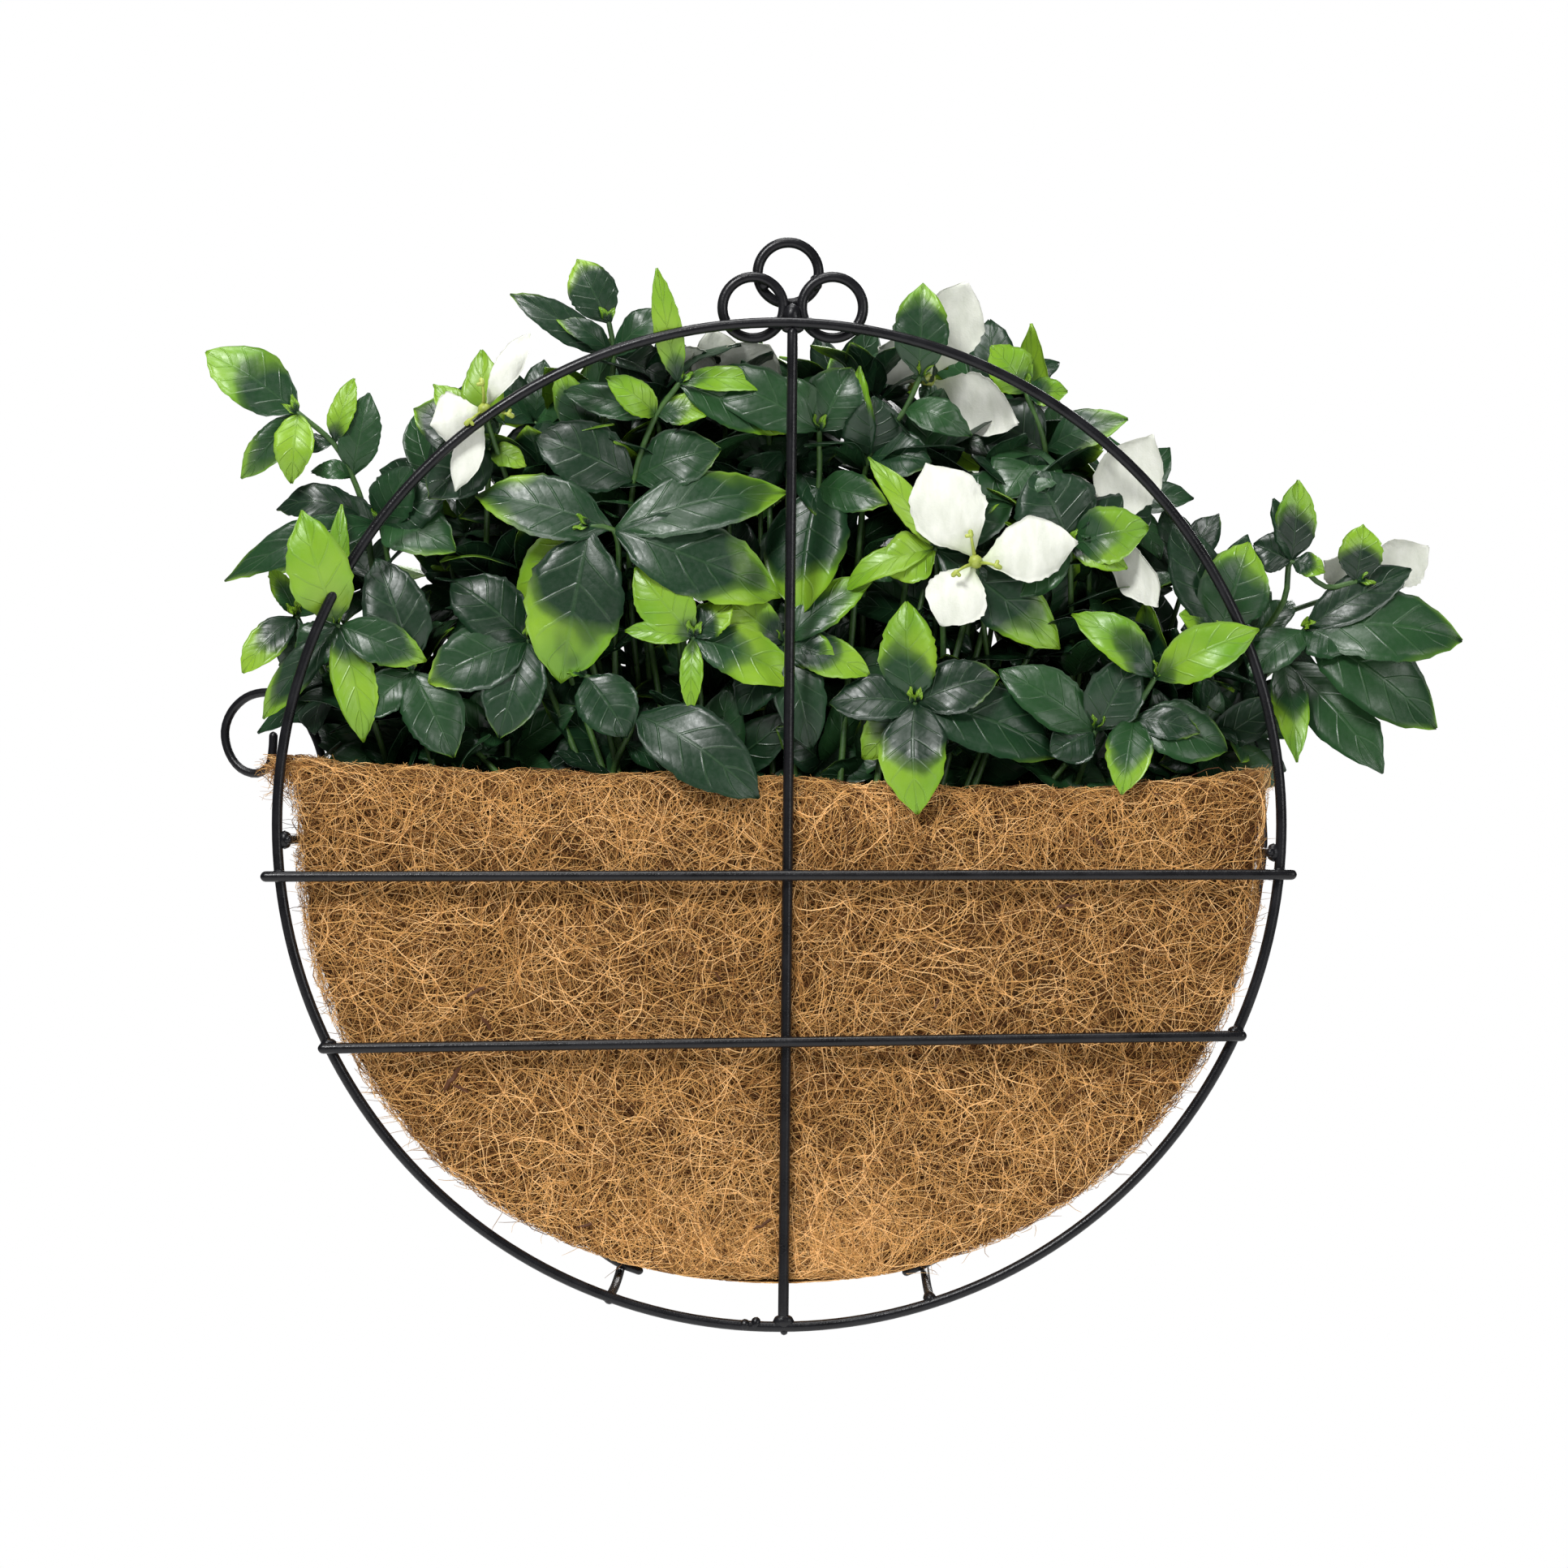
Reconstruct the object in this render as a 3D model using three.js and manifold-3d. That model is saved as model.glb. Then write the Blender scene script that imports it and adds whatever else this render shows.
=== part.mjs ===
// Wall-hung half basket: a welded wire cage, a coir liner, a foam block and artificial gardenia sprays.
// Millimetres, +Z up. The wall is on +Y, the bowl bulges to -Y. The origin is the centre of the hanging eye.
import * as THREE from "three";
import { mergeVertices } from "three/addons/utils/BufferGeometryUtils.js";
import Module from "manifold-3d";

const wasm = await Module();
wasm.setup();

// Ring frame: right as seen from the wall side, forward away from the wall, up, from the ring's centre.
const RING_CENTRE = new THREE.Vector3(3.6, 9, -218.6);
const at = (right, forward, up) =>
  new THREE.Vector3(RING_CENTRE.x - right, RING_CENTRE.y - forward, RING_CENTRE.z + up);

const WIRE_R = 2.1; // ring, bars and eyes
const LIGHT_WIRE_R = 1.8; // hoop and ribs
const LAYER = 4.5; // one wire thickness and the gap to the next layer
const SEAT_GAP = 0.3;
const RING_R = 198;
const RING_SEGMENTS = 64;
const WIRE_SIDES = 8;
const LIGHT_WIRE_SIDES = 6;
const HOOP_STEPS = 36;
const RIB_STEPS = 46;

// The liner is half an oval bowl: widths and depths shrink below ZERO_UP by superellipse profiles.
const LINER = {
  halfWidth: 191,
  depth: 186,
  flare: 2.5,
  zeroUp: -5,
  height: 176,
  widthPower: 2.1,
  depthPower: 3.4,
  lowestShare: 0.99,
  backForward: 2.6,
  wall: 8,
  rimUp: 20,
};
const HOOP = { halfWidth: 193.5, depth: 190, up: -8.5, lean: 2.5, endForward: -1.5 };
const RIB_POWER = 2.8;
const RIB_OUTSIDE_HOOP = 2 * LIGHT_WIRE_R + SEAT_GAP;

const FOAM = { topUp: -14, bottomUp: -54, gap: 1.7 };
const STEM = { radius: 1.5, sides: 4, steps: 3, buried: 20, hole: 0.5 };
const STEM_SEAT = 6; // the stem is straight this far above the foam
const BUD_R = 3.2;
const LEAF = { thickness: 1.2, neck: 0.8, sag: 0.1, gap: 0.35, budStart: 1.6, stemStart: -1 };
const PETAL_SAG = -0.12;
const FOLIAGE_NEAREST_WALL = 4; // forward of the ring plane, so that the planting lifts clear of the ring
const LIFT = 100;
const SIMPLIFY = 0.06;

const PAINT = { color: 0x15161a, roughness: 0.45, metalness: 0.6 };
const COIR = { color: 0xb08a4e, roughness: 0.95, metalness: 0 };
const FOAM_GREEN = { color: 0x2e4a2c, roughness: 0.95, metalness: 0 };
const LEAF_GREEN = { color: 0x2c5a30, roughness: 0.35, metalness: 0 };
const PETAL_WHITE = { color: 0xeef0e2, roughness: 0.6, metalness: 0 };

const basket = new THREE.Group();
const placed = [];

function solidFrom(geometry) {
  const bare = geometry.clone();
  bare.deleteAttribute("normal");
  bare.deleteAttribute("uv");
  const merged = mergeVertices(bare, 1e-4);
  const build = (triVerts) =>
    new wasm.Manifold(
      new wasm.Mesh({ numProp: 3, vertProperties: merged.attributes.position.array, triVerts }),
    );
  const triVerts = new Uint32Array(merged.index.array);
  const made = build(triVerts);
  return made.volume() > 0 ? made : build(triVerts.reverse());
}

function solidFromFaces(points, faces) {
  const geometry = new THREE.BufferGeometry().setFromPoints(points);
  geometry.setIndex(faces.flat());
  return solidFrom(geometry);
}

function add(name, solid, look) {
  const mesh = solid.getMesh();
  const positions = new Float32Array(mesh.numVert * 3);
  for (let i = 0; i < mesh.numVert; i++)
    positions.set(mesh.vertProperties.subarray(i * mesh.numProp, i * mesh.numProp + 3), i * 3);
  const geometry = new THREE.BufferGeometry();
  geometry.setAttribute("position", new THREE.BufferAttribute(positions, 3));
  geometry.setIndex(new THREE.BufferAttribute(mesh.triVerts, 1));
  geometry.computeVertexNormals();
  const shown = new THREE.Mesh(geometry, new THREE.MeshStandardMaterial(look));
  shown.name = name;
  basket.add(shown);
  placed.push({ solid, box: solid.boundingBox() });
}

// A solid wire along a curve, with a flat end at each end.
function wire(points, radius, sides, steps) {
  const curve = new THREE.CatmullRomCurve3(points, false, "centripetal");
  const corners = [];
  for (let i = 0; i < sides; i++) {
    const angle = ((i + 0.5) * 2 * Math.PI) / sides;
    corners.push(new THREE.Vector2(radius * Math.cos(angle), radius * Math.sin(angle)));
  }
  const shape = new THREE.Shape(corners);
  const options = { steps, bevelEnabled: false, extrudePath: curve };
  return solidFrom(new THREE.ExtrudeGeometry(shape, options));
}

// A loop of wire standing in the plane of the ring.
function loop(centre, radius, wireRadius, sides, segments) {
  const torus = new THREE.TorusGeometry(radius, wireRadius, sides, segments);
  torus.rotateX(Math.PI / 2);
  torus.translate(centre.x, centre.y, centre.z);
  return solidFrom(torus);
}

// A straight bar with a flat towards the wall and chamfered ends.
function bar(from, to) {
  const CHAMFER = 1.2;
  const corner = WIRE_R / Math.cos(Math.PI / WIRE_SIDES);
  const length = from.distanceTo(to);
  const profile = [
    [0, 0],
    [corner - CHAMFER, 0],
    [corner, CHAMFER],
    [corner, length - CHAMFER],
    [corner - CHAMFER, length],
    [0, length],
  ].map(([x, y]) => new THREE.Vector2(x, y));
  const geometry = new THREE.LatheGeometry(profile, WIRE_SIDES, Math.PI / WIRE_SIDES);
  const along = to.clone().sub(from).normalize();
  const wallward = new THREE.Vector3(0, 1, 0);
  const side = along.clone().cross(wallward);
  geometry.applyMatrix4(new THREE.Matrix4().makeBasis(wallward, along, side.negate()));
  geometry.translate(from.x, from.y, from.z);
  return solidFrom(geometry);
}

/* ---- the cage ---- */

add("main_ring", loop(at(0, 0, 0), RING_R, WIRE_R, WIRE_SIDES, RING_SEGMENTS), PAINT);

const CENTRE_BAR_END = RING_R - WIRE_R - 0.5;
add("centre_bar", bar(at(1.6, 0, -CENTRE_BAR_END), at(5.3, 0, CENTRE_BAR_END)), PAINT);
add("upper_cross_bar", bar(at(203.5, -LAYER, -19.6), at(-204, -LAYER, -20.4)), PAINT);
add("lower_cross_bar", bar(at(183.8, -LAYER, -83), at(-181.4, -LAYER, -88)), PAINT);

const EYE_R = 12.1;
const EYE_SEGMENTS = 24;
const EYE_SIDES = 6;
add("left_base_eye", loop(at(-10.3, LAYER, 204.4), EYE_R, WIRE_R, EYE_SIDES, EYE_SEGMENTS), PAINT);
add("right_base_eye", loop(at(21.1, LAYER, 204.4), EYE_R, WIRE_R, EYE_SIDES, EYE_SEGMENTS), PAINT);
add("hanging_eye", loop(at(3.6, 2 * LAYER, 218.6), EYE_R, WIRE_R, EYE_SIDES, EYE_SEGMENTS), PAINT);

function hoopPoint(angle, outside = 0) {
  return at(
    -(HOOP.halfWidth + outside) * Math.cos(angle),
    (HOOP.depth + outside) * Math.sin(angle),
    HOOP.up + HOOP.lean * Math.cos(angle),
  );
}
const HOOP_SPANS = 24;
const hoopPath = [at(-HOOP.halfWidth, HOOP.endForward, HOOP.up + HOOP.lean)];
for (let i = 0; i <= HOOP_SPANS; i++) hoopPath.push(hoopPoint((i * Math.PI) / HOOP_SPANS));
hoopPath.push(at(HOOP.halfWidth, HOOP.endForward, HOOP.up - HOOP.lean));
add("front_hoop", wire(hoopPath, LIGHT_WIRE_R, LIGHT_WIRE_SIDES, HOOP_STEPS), PAINT);

// The scroll on top of each rib: [outwards from the rib, up from the hoop].
const SCROLL = [
  [1, 23.5],
  [3, 35.5],
  [7.5, 45.5],
  [14, 54],
  [21, 58.5],
  [28, 60],
  [37, 58],
  [44, 52],
  [47, 44],
  [45, 35],
  [39.5, 28.5],
  [32, 26.5],
  [26.5, 30],
  [25, 36],
  [24.6, 42],
];

// Adds the scroll's points to a path, leaving the foot in the plan direction (right, forward).
function addScroll(path, foot, [right, forward], drop) {
  for (const [out, rise] of SCROLL)
    path.push(foot.clone().add(new THREE.Vector3(-right * out, -forward * out, rise - drop)));
}

// A front rib leaves the bottom of the ring, runs under the liner and up to the outside of the hoop.
function frontRib(name, right, endUp, lean) {
  const foot = hoopPoint(Math.acos(-right / HOOP.halfWidth), RIB_OUTSIDE_HOOP);
  const reach = RING_CENTRE.y - foot.y;
  const footUp = foot.z - RING_CENTRE.z;
  const path = [];
  const startForward = WIRE_R + SEAT_GAP;
  for (const degrees of [0, 6, 14, 24, 35, 46, 57, 68, 79]) {
    const angle = THREE.MathUtils.degToRad(degrees);
    const share = Math.pow(Math.sin(angle), 2 / RIB_POWER);
    const drop = Math.pow(Math.cos(angle), 2 / RIB_POWER);
    const forward = startForward + (reach - startForward) * share;
    path.push(at(right + lean * (1 - share), forward, footUp + (endUp - footUp) * drop));
  }
  path.push(foot);
  addScroll(path, foot, [Math.sign(right) * 0.3, 0.95], 0);
  add(name, wire(path, LIGHT_WIRE_R, LIGHT_WIRE_SIDES, RIB_STEPS), PAINT);
}
frontRib("left_front_rib", -62, -186.6, -5);
frontRib("right_front_rib", 60, -187, -0.5);

const linerShare = (share, power) => Math.pow(1 - Math.pow(share, power), 1 / power);

// A point beside the liner: angle in plan from the left end, share of the depth below zeroUp and clearance.
function besideLiner(degrees, share, clearance) {
  const angle = THREE.MathUtils.degToRad(degrees);
  const halfWidth = LINER.halfWidth * linerShare(share, LINER.widthPower) + clearance;
  const depth = LINER.depth * linerShare(share, LINER.depthPower) + clearance;
  return [halfWidth * Math.cos(angle), depth * Math.sin(angle), LINER.zeroUp - LINER.height * share];
}

// A side rib crosses over a front rib under the liner, follows the bowl and passes outside the hoop.
function sideRib(name, side, hoopAngle, turn, tip, crossing, scrollDirection, scrollDrop) {
  const path = [at(...tip), at(...crossing)];
  const route = [
    [0.88, 9],
    [0.76, 6],
    [0.6, 4.5],
    [0.42, 4.2],
    [0.22, 4.8],
  ];
  for (const [share, clearance] of route) {
    const [out, forward, up] = besideLiner(hoopAngle + turn * share ** 3, share, clearance);
    path.push(at(side * out, forward, up));
  }
  const angle = THREE.MathUtils.degToRad(hoopAngle);
  const foot = hoopPoint(side < 0 ? angle : Math.PI - angle, RIB_OUTSIDE_HOOP + 0.2);
  path.push(foot);
  addScroll(path, foot, scrollDirection, scrollDrop);
  add(name, wire(path, LIGHT_WIRE_R, LIGHT_WIRE_SIDES, RIB_STEPS), PAINT);
}
sideRib("left_side_rib", -1, 20, 10, [-57.5, 60, -183], [-66.5, 60, -179.4], [-0.94, 0.34], 0);
sideRib("right_side_rib", 1, 10, 21, [52, 60, -183.5], [60.5, 60, -179.8], [-0.2, 0.98], 9);

/* ---- the liner and the foam ---- */

function linerRing(up, inset, backForward) {
  const share = Math.max(0, (LINER.zeroUp - up) / LINER.height);
  const rise = Math.max(0, (up - LINER.zeroUp) / (LINER.rimUp - LINER.zeroUp));
  const halfWidth = LINER.halfWidth * linerShare(share, LINER.widthPower) + LINER.flare * rise - inset;
  const depth = LINER.depth * linerShare(share, LINER.depthPower) + LINER.flare * rise - inset;
  const first = Math.asin(backForward / depth);
  const ARC_SPANS = 20;
  const ring = [];
  for (let i = 0; i <= ARC_SPANS; i++) {
    const angle = first + ((Math.PI - 2 * first) * i) / ARC_SPANS;
    ring.push([-halfWidth * Math.cos(angle), depth * Math.sin(angle), up]);
  }
  return ring;
}

// Stacks rings of equal length into a closed solid.
function stack(rings) {
  const points = rings.flat().map((p) => at(...p));
  const count = rings[0].length;
  const faces = [];
  for (let r = 0; r + 1 < rings.length; r++)
    for (let i = 0; i < count; i++) {
      const a = r * count + i;
      const b = r * count + ((i + 1) % count);
      faces.push([a, b, b + count], [a, b + count, a + count]);
    }
  const last = (rings.length - 1) * count;
  for (let i = 1; i + 1 < count; i++) {
    faces.push([0, i + 1, i]);
    faces.push([last, last + i, last + i + 1]);
  }
  return solidFromFaces(points, faces);
}

const linerShares = [LINER.lowestShare, 0.96, 0.9, 0.8, 0.65, 0.45, 0.25, 0];
const levels = linerShares.map((share) => LINER.zeroUp - LINER.height * share);
const outerRings = levels.map((up) => linerRing(up, 0, LINER.backForward));
outerRings.push(linerRing(LINER.rimUp, 0, LINER.backForward));
// Height of the cut rim at [right, up] points, straight between them.
const RIM = [[-196, 25], [-136, 21.5], [-75, 19.7], [0, 18], [53, 15], [112, 13.5], [158, 16.4], [196, 22]];
function rimHeight(right) {
  const next = Math.max(1, RIM.findIndex(([place]) => place >= right));
  const [from, low] = RIM[next - 1];
  const [to, high] = RIM[next];
  return low + ((high - low) * (right - from)) / (to - from);
}
outerRings.push(outerRings.pop().map(([right, forward]) => [right, forward, rimHeight(right)]));
const innerLevels = levels
  .map((up) => Math.max(up, levels[0] + LINER.wall))
  .filter((up, i, all) => up !== all[i - 1]);
const innerBack = LINER.backForward + LINER.wall;
const innerRings = innerLevels.map((up) => linerRing(up, LINER.wall, innerBack));
const ABOVE_RIM = 12; // the hollow is cut from above the waved rim
const mouth = linerRing(LINER.rimUp, LINER.wall, innerBack);
innerRings.push(mouth.map(([right, forward, up]) => [right, forward, up + ABOVE_RIM]));
add("coir_liner", stack(outerRings).subtract(stack(innerRings)), COIR);

const foamInset = LINER.wall + FOAM.gap;
const foamLevels = [FOAM.bottomUp, (FOAM.bottomUp + FOAM.topUp) / 2, FOAM.topUp];
const foamBlank = stack(foamLevels.map((up) => linerRing(up, foamInset, LINER.backForward + foamInset)));

/* ---- the sprays and the flowers ---- */

// One spray: its root on the foam (right, forward), points [right, forward, up] up to its bud, and leaves
// [path point, tip right, tip forward, tip up, width].
const SPRAYS = [
  ["far_left", [-140, 60],
    [[-163, 30, 100], [-166, 28, 124], [-171, 26, 139], [-178, 22, 152], [-192, 20, 164]], [
    [4, -228, 16, 189, 25], [4, -215, 20, 138, 13], [4, -194, 14, 136, 15], [3, -170, 20, 178, 10],
    [2, -164, 20, 172, 16], [3, -197, 26, 152, 8], [1, -202, 28, 127, 15], [2, -187, 24, 141, 8]]],
  ["high_left", [-125, 66], [[-150, 40, 70], [-160, 30, 120]], [
    [1, -129, 10, 110, 24], [1, -147, 16, 142, 20], [1, -221, 14, 98, 16], [1, -206, 30, 100, 12],
    [1, -184, 22, 128, 14]]],
  ["ring_left", [-150, 40], [[-160, 26, 40], [-172, 10, 79]], [
    [1, -188, -5, 123, 24], [1, -164, 4, 33, 17], [1, -140, 8, 65, 17], [1, -191, 12, 64, 18],
    [1, -206, 14, 42, 13], [1, -174, 8, 127, 9]]],
  ["outer_left", [-150, 80], [[-180, 50, 50], [-193, 24, 83]], [
    [1, -214, 16, 61, 15], [1, -203, 18, 102, 10], [1, -175, 24, 104, 18], [1, -196, 30, 58, 14]]],
  ["shoulder_left", [-110, 40], [[-108, 30, 50], [-100, 18, 73]], [
    [1, -139, 8, 57, 25], [1, -111, 8, 35, 24], [1, -123, 26, 90, 18], [1, -131, 18, 98, 26],
    [1, -86, 22, 84, 20]]],
  ["rim_left", [-130, 24], [[-142, 22, 36], [-146, 14, 61]], [
    [1, -129, 3, 26, 24], [1, -166, 10, 43, 16], [1, -160, 14, 106, 25]]],
  ["centre_left", [-66, 40], [[-66, 28, 70], [-66, 12, 117], [-75, 9, 118]], [
    [1, -121, 8, 132, 26], [2, -87, 0, 56, 37], [2, -104, 20, 80, 30], [1, 1, 4, 91, 30],
    [1, 3, 14, 134, 26]]],
  ["upper_left", [-50, 66], [[-60, 40, 90], [-58, 24, 138], [-49, 18, 163], [-40, 14, 175]], [
    [3, -48, -5, 218, 11], [3, 1, 8, 174, 11], [3, 3, 14, 157, 19], [2, -68, 8, 177, 13],
    [1, -97, 16, 155, 27], [1, -24, 16, 150, 24], [2, -24, 14, 167, 13], [2, -86, 18, 173, 13]]],
  ["crest_left", [-84, 74], [[-85, 50, 90], [-74, 34, 150], [-66, 24, 187], [-68, 23, 200]], [
    [2, -107, 18, 212, 13], [2, -90, 18, 203, 10], [2, -41, 18, 205, 14], [3, -81, 22, 226, 18],
    [2, -45, 30, 178, 19], [1, -89, 25, 182, 15]]],
  ["wing_left", [-116, 46], [[-118, 34, 100], [-116, 22, 150]], [
    [1, -119, 18, 189, 17], [1, -146, 22, 167, 24], [1, -138, 20, 176, 14], [1, -101, 16, 143, 10],
    [1, -139, 10, 130, 23]]],
  ["crest_right", [34, 70], [[34, 46, 90], [36, 28, 147], [50, 20, 165], [56, 18, 178]], [
    [3, 57, 12, 215, 21], [2, 76, 12, 155, 14], [1, 38, 16, 170, 24], [1, 31, 16, 182, 12],
    [1, 60, 14, 145, 22]]],
  ["crown", [10, 54], [[12, 44, 90], [16, 32, 136], [16, 22, 157]], [
    [2, 29, 18, 182, 24], [2, -32, 20, 180, 22], [1, 8, 6, 85, 36], [1, 42, 12, 128, 16],
    [2, -2, 18, 178, 18]]],
  ["bright_right", [60, 44], [[66, 32, 70], [62, 18, 110]], [
    [1, 41, 8, 101, 20], [1, 36, 12, 146, 11], [1, 25, 10, 94, 13], [1, 113, 8, 71, 26],
    [1, 94, 24, 140, 25], [1, 92, 22, 134, 8]]],
  ["centre_right", [54, 26], [[54, 24, 20], [54, 12, 48]], [
    [1, 50, 6, 88, 23], [1, 87, 8, 59, 21], [1, 20, 10, 49, 20], [1, 54, -4, 5, 26],
    [1, 33, 14, 26, 18], [1, 112, 12, 28, 29]]],
  ["low_right", [112, 34], [[118, 28, 12], [126, 18, 37]], [
    [1, 88, 12, 62, 22], [1, 141, 12, 66, 22], [1, 108, 14, 28, 18]]],
  ["centre", [-36, 30], [[-38, 24, 34], [-34, 10, 74]], [
    [1, -57, 4, 102, 21], [1, 7, -4, 57, 23], [1, -19, 10, 88, 15], [1, -35, 4, 45, 9],
    [1, -61, 8, 77, 9]]],
  ["rim_centre", [-68, 24], [[-66, 22, 22], [-58, 13, 44], [-70, 14, 56], [-77, 13, 59]], [
    [1, -5, 0, 13, 29], [3, -60, 6, 35, 24]]],
  ["middle", [8, 34], [[6, 30, 30], [2, 20, 72]], [
    [1, -31, 10, 97, 17], [1, 22, 12, 66, 15], [1, 36, 12, 60, 17], [1, 13, 14, 30, 20],
    [1, 36, 12, 98, 17], [1, -16, 14, 44, 20]]],
  ["high_right", [104, 64], [[106, 44, 90], [107, 30, 150], [99, 28, 173]], [
    [2, 85, 22, 191, 19], [2, 115, 22, 173, 11], [1, 90, 16, 131, 29], [1, 138, 16, 162, 18],
    [1, 82, 34, 164, 28]]],
  ["shoulder_right", [122, 50], [[118, 36, 70], [116, 18, 111]], [
    [1, 146, 8, 118, 22], [1, 138, 10, 102, 13], [1, 102, 14, 140, 34], [1, 150, 28, 128, 22],
    [1, 92, 18, 92, 20]]],
  ["rim_right", [140, 26], [[138, 24, 14], [141, 16, 42], [149, 10, 58]], [
    [2, 117, 6, 84, 17], [2, 188, -5, 77, 20], [2, 170, 10, 66, 11], [1, 135, -4, 13, 18],
    [1, 167, 10, 37, 13], [1, 179, 16, 30, 24]]],
  ["ring_right", [152, 48], [[164, 38, 36], [176, 24, 76]], [
    [1, 187, 16, 112, 27], [1, 158, 22, 120, 22], [1, 187, 22, 116, 16], [1, 160, 16, 84, 17]]],
  ["far_right", [140, 76], [[176, 60, 50], [203, 32, 90], [205, 24, 105], [219, 26, 95], [231, 26, 97]], [
    [2, 198, 20, 130, 12], [2, 207, 18, 137, 16], [2, 218, 20, 101, 10], [4, 234, 24, 120, 17],
    [2, 190, 24, 112, 16]]],
  ["outer_right", [124, 96], [[176, 84, 40], [204, 50, 66], [211, 30, 78]], [
    [2, 274, 26, 75, 31], [2, 228, 20, 70, 23], [2, 265, 30, 39, 30], [1, 242, 24, 22, 25],
    [1, 206, 12, 27, 14], [2, 254, 30, 103, 18], [2, 188, 20, 60, 20]]],
];

// The sprays over the front of the bowl, which follow one rule: they lean outwards round the arc.
const FRONT_SPRAYS = 8;
const FRONT_FROM = 26;
const FRONT_SWEEP = 126;
function frontSpray(index) {
  const angle = THREE.MathUtils.degToRad(FRONT_FROM + (FRONT_SWEEP * index) / (FRONT_SPRAYS - 1));
  const high = index % 2;
  const FURTHER = 6; // the arc's centre is this far from the ring plane
  const radial = (out, up) => [-out * Math.cos(angle), out * Math.sin(angle) + FURTHER, up];
  const side = [Math.sin(angle), Math.cos(angle)];
  const bud = radial(high ? 96 : 140, high ? 150 : 92);
  const shifted = (out, up, aside) => {
    const [right, forward, height] = radial(out, up);
    return [right + aside * side[0], forward + aside * side[1], height];
  };
  const spread = high
    ? [[112, 202, 12, 20], [150, 172, -20, 22], [142, 132, 30, 24], [92, 186, -42, 20], [120, 150, 52, 20]]
    : [[196, 100, 10, 24], [178, 58, -26, 26], [166, 130, 32, 24], [172, 76, 44, 22], [150, 140, -34, 22]];
  const root = radial(high ? 72 : 104, 0).slice(0, 2);
  const middle = radial(high ? 84 : 120, high ? 60 : 36);
  const leaves = spread.map(([out, up, aside, width]) => [1, ...shifted(out, up, aside), width]);
  return ["front_" + (index + 1), root, [middle, bud], leaves];
}

// Flowers: root on the foam, path to the middle of the flower, petal tips [right, forward, up, width].
const FLOWERS = [
  ["centre", [84, 36], [[84, 32, 60], [78, 4, 104]],
    [[58, -2, 143, 31], [118, -2, 112, 26], [64, -3, 79, 26]]],
  ["left", [-98, 60], [[-100, 46, 100], [-117, 8, 164]],
    [[-138, 4, 158, 22], [-99, 8, 195, 13], [-128, 2, 132, 13]]],
  ["top_right", [60, 78], [[62, 56, 100], [60, 30, 178]],
    [[75, 26, 217, 28], [40, 30, 192, 22], [96, 18, 160, 25]]],
  ["right", [110, 40], [[124, 38, 80], [124, 22, 116]],
    [[150, 18, 155, 27], [152, 10, 87, 19], [118, 30, 140, 16]]],
  ["top_left", [-20, 80], [[-22, 60, 100], [-22, 44, 172]],
    [[-46, 38, 190, 22], [-4, 38, 194, 28], [-28, 40, 200, 22]]],
  ["far_right", [128, 66], [[186, 56, 74], [238, 42, 97]],
    [[262, 38, 112, 22], [220, 40, 107, 18], [246, 60, 92, 22]]],
  ["front_left", [-64, 120], [[-70, 130, 60], [-84, 150, 118]],
    [[-112, 160, 140, 28], [-62, 166, 142, 28], [-92, 176, 92, 26]]],
  ["front_right", [50, 130], [[56, 140, 70], [64, 158, 136]],
    [[92, 164, 160, 28], [36, 170, 160, 28], [66, 188, 110, 26]]],
];

const meets = (a, b) => [0, 1, 2].every((k) => a.min[k] <= b.max[k] && a.max[k] >= b.min[k]);
function isClear(solid, obstacles) {
  const box = solid.boundingBox();
  return obstacles.every((other) => !meets(box, other.box) || solid.intersect(other.solid).isEmpty());
}

// What the cage needs clear as the planting lifts past it: [right, forward, up] corners of boxes.
const keepOuts = [
  [[-236, 56, -90], [-184, 92, 56]], // the four scrolls
  [[176, 28, -90], [200, 90, 48]],
  [[-82, 180, -90], [-54, 238, 58]],
  [[54, 180, -90], [82, 238, 58]],
  [[-215, -12, -220], [215, 2.7, 230]], // the ring with its bars
  [[-26, 2, 88], [37, 12, 235]], // the eyes
].map(([low, high]) => {
  const size = high.map((value, k) => value - low[k]);
  const middle = at(...high.map((value, k) => (value + low[k]) / 2));
  const block = new THREE.BoxGeometry(...size);
  block.translate(middle.x, middle.y, middle.z);
  const solid = solidFrom(block);
  return { solid, box: solid.boundingBox() };
});
const EYES_LOWEST = 188; // up, under the base eyes
const EYE_ZONE = { middle: 5, halfWidth: 42, lowestUp: EYES_LOWEST - LIFT, forward: 13 };

// Keeps a point behind the ring plane, and further from the wall where the eyes pass on the way up.
function keepForward([right, forward, up]) {
  const underEyes = Math.abs(right - EYE_ZONE.middle) < EYE_ZONE.halfWidth && up > EYE_ZONE.lowestUp;
  return [right, Math.max(forward, underEyes ? EYE_ZONE.forward : FOLIAGE_NEAREST_WALL), up];
}

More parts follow.
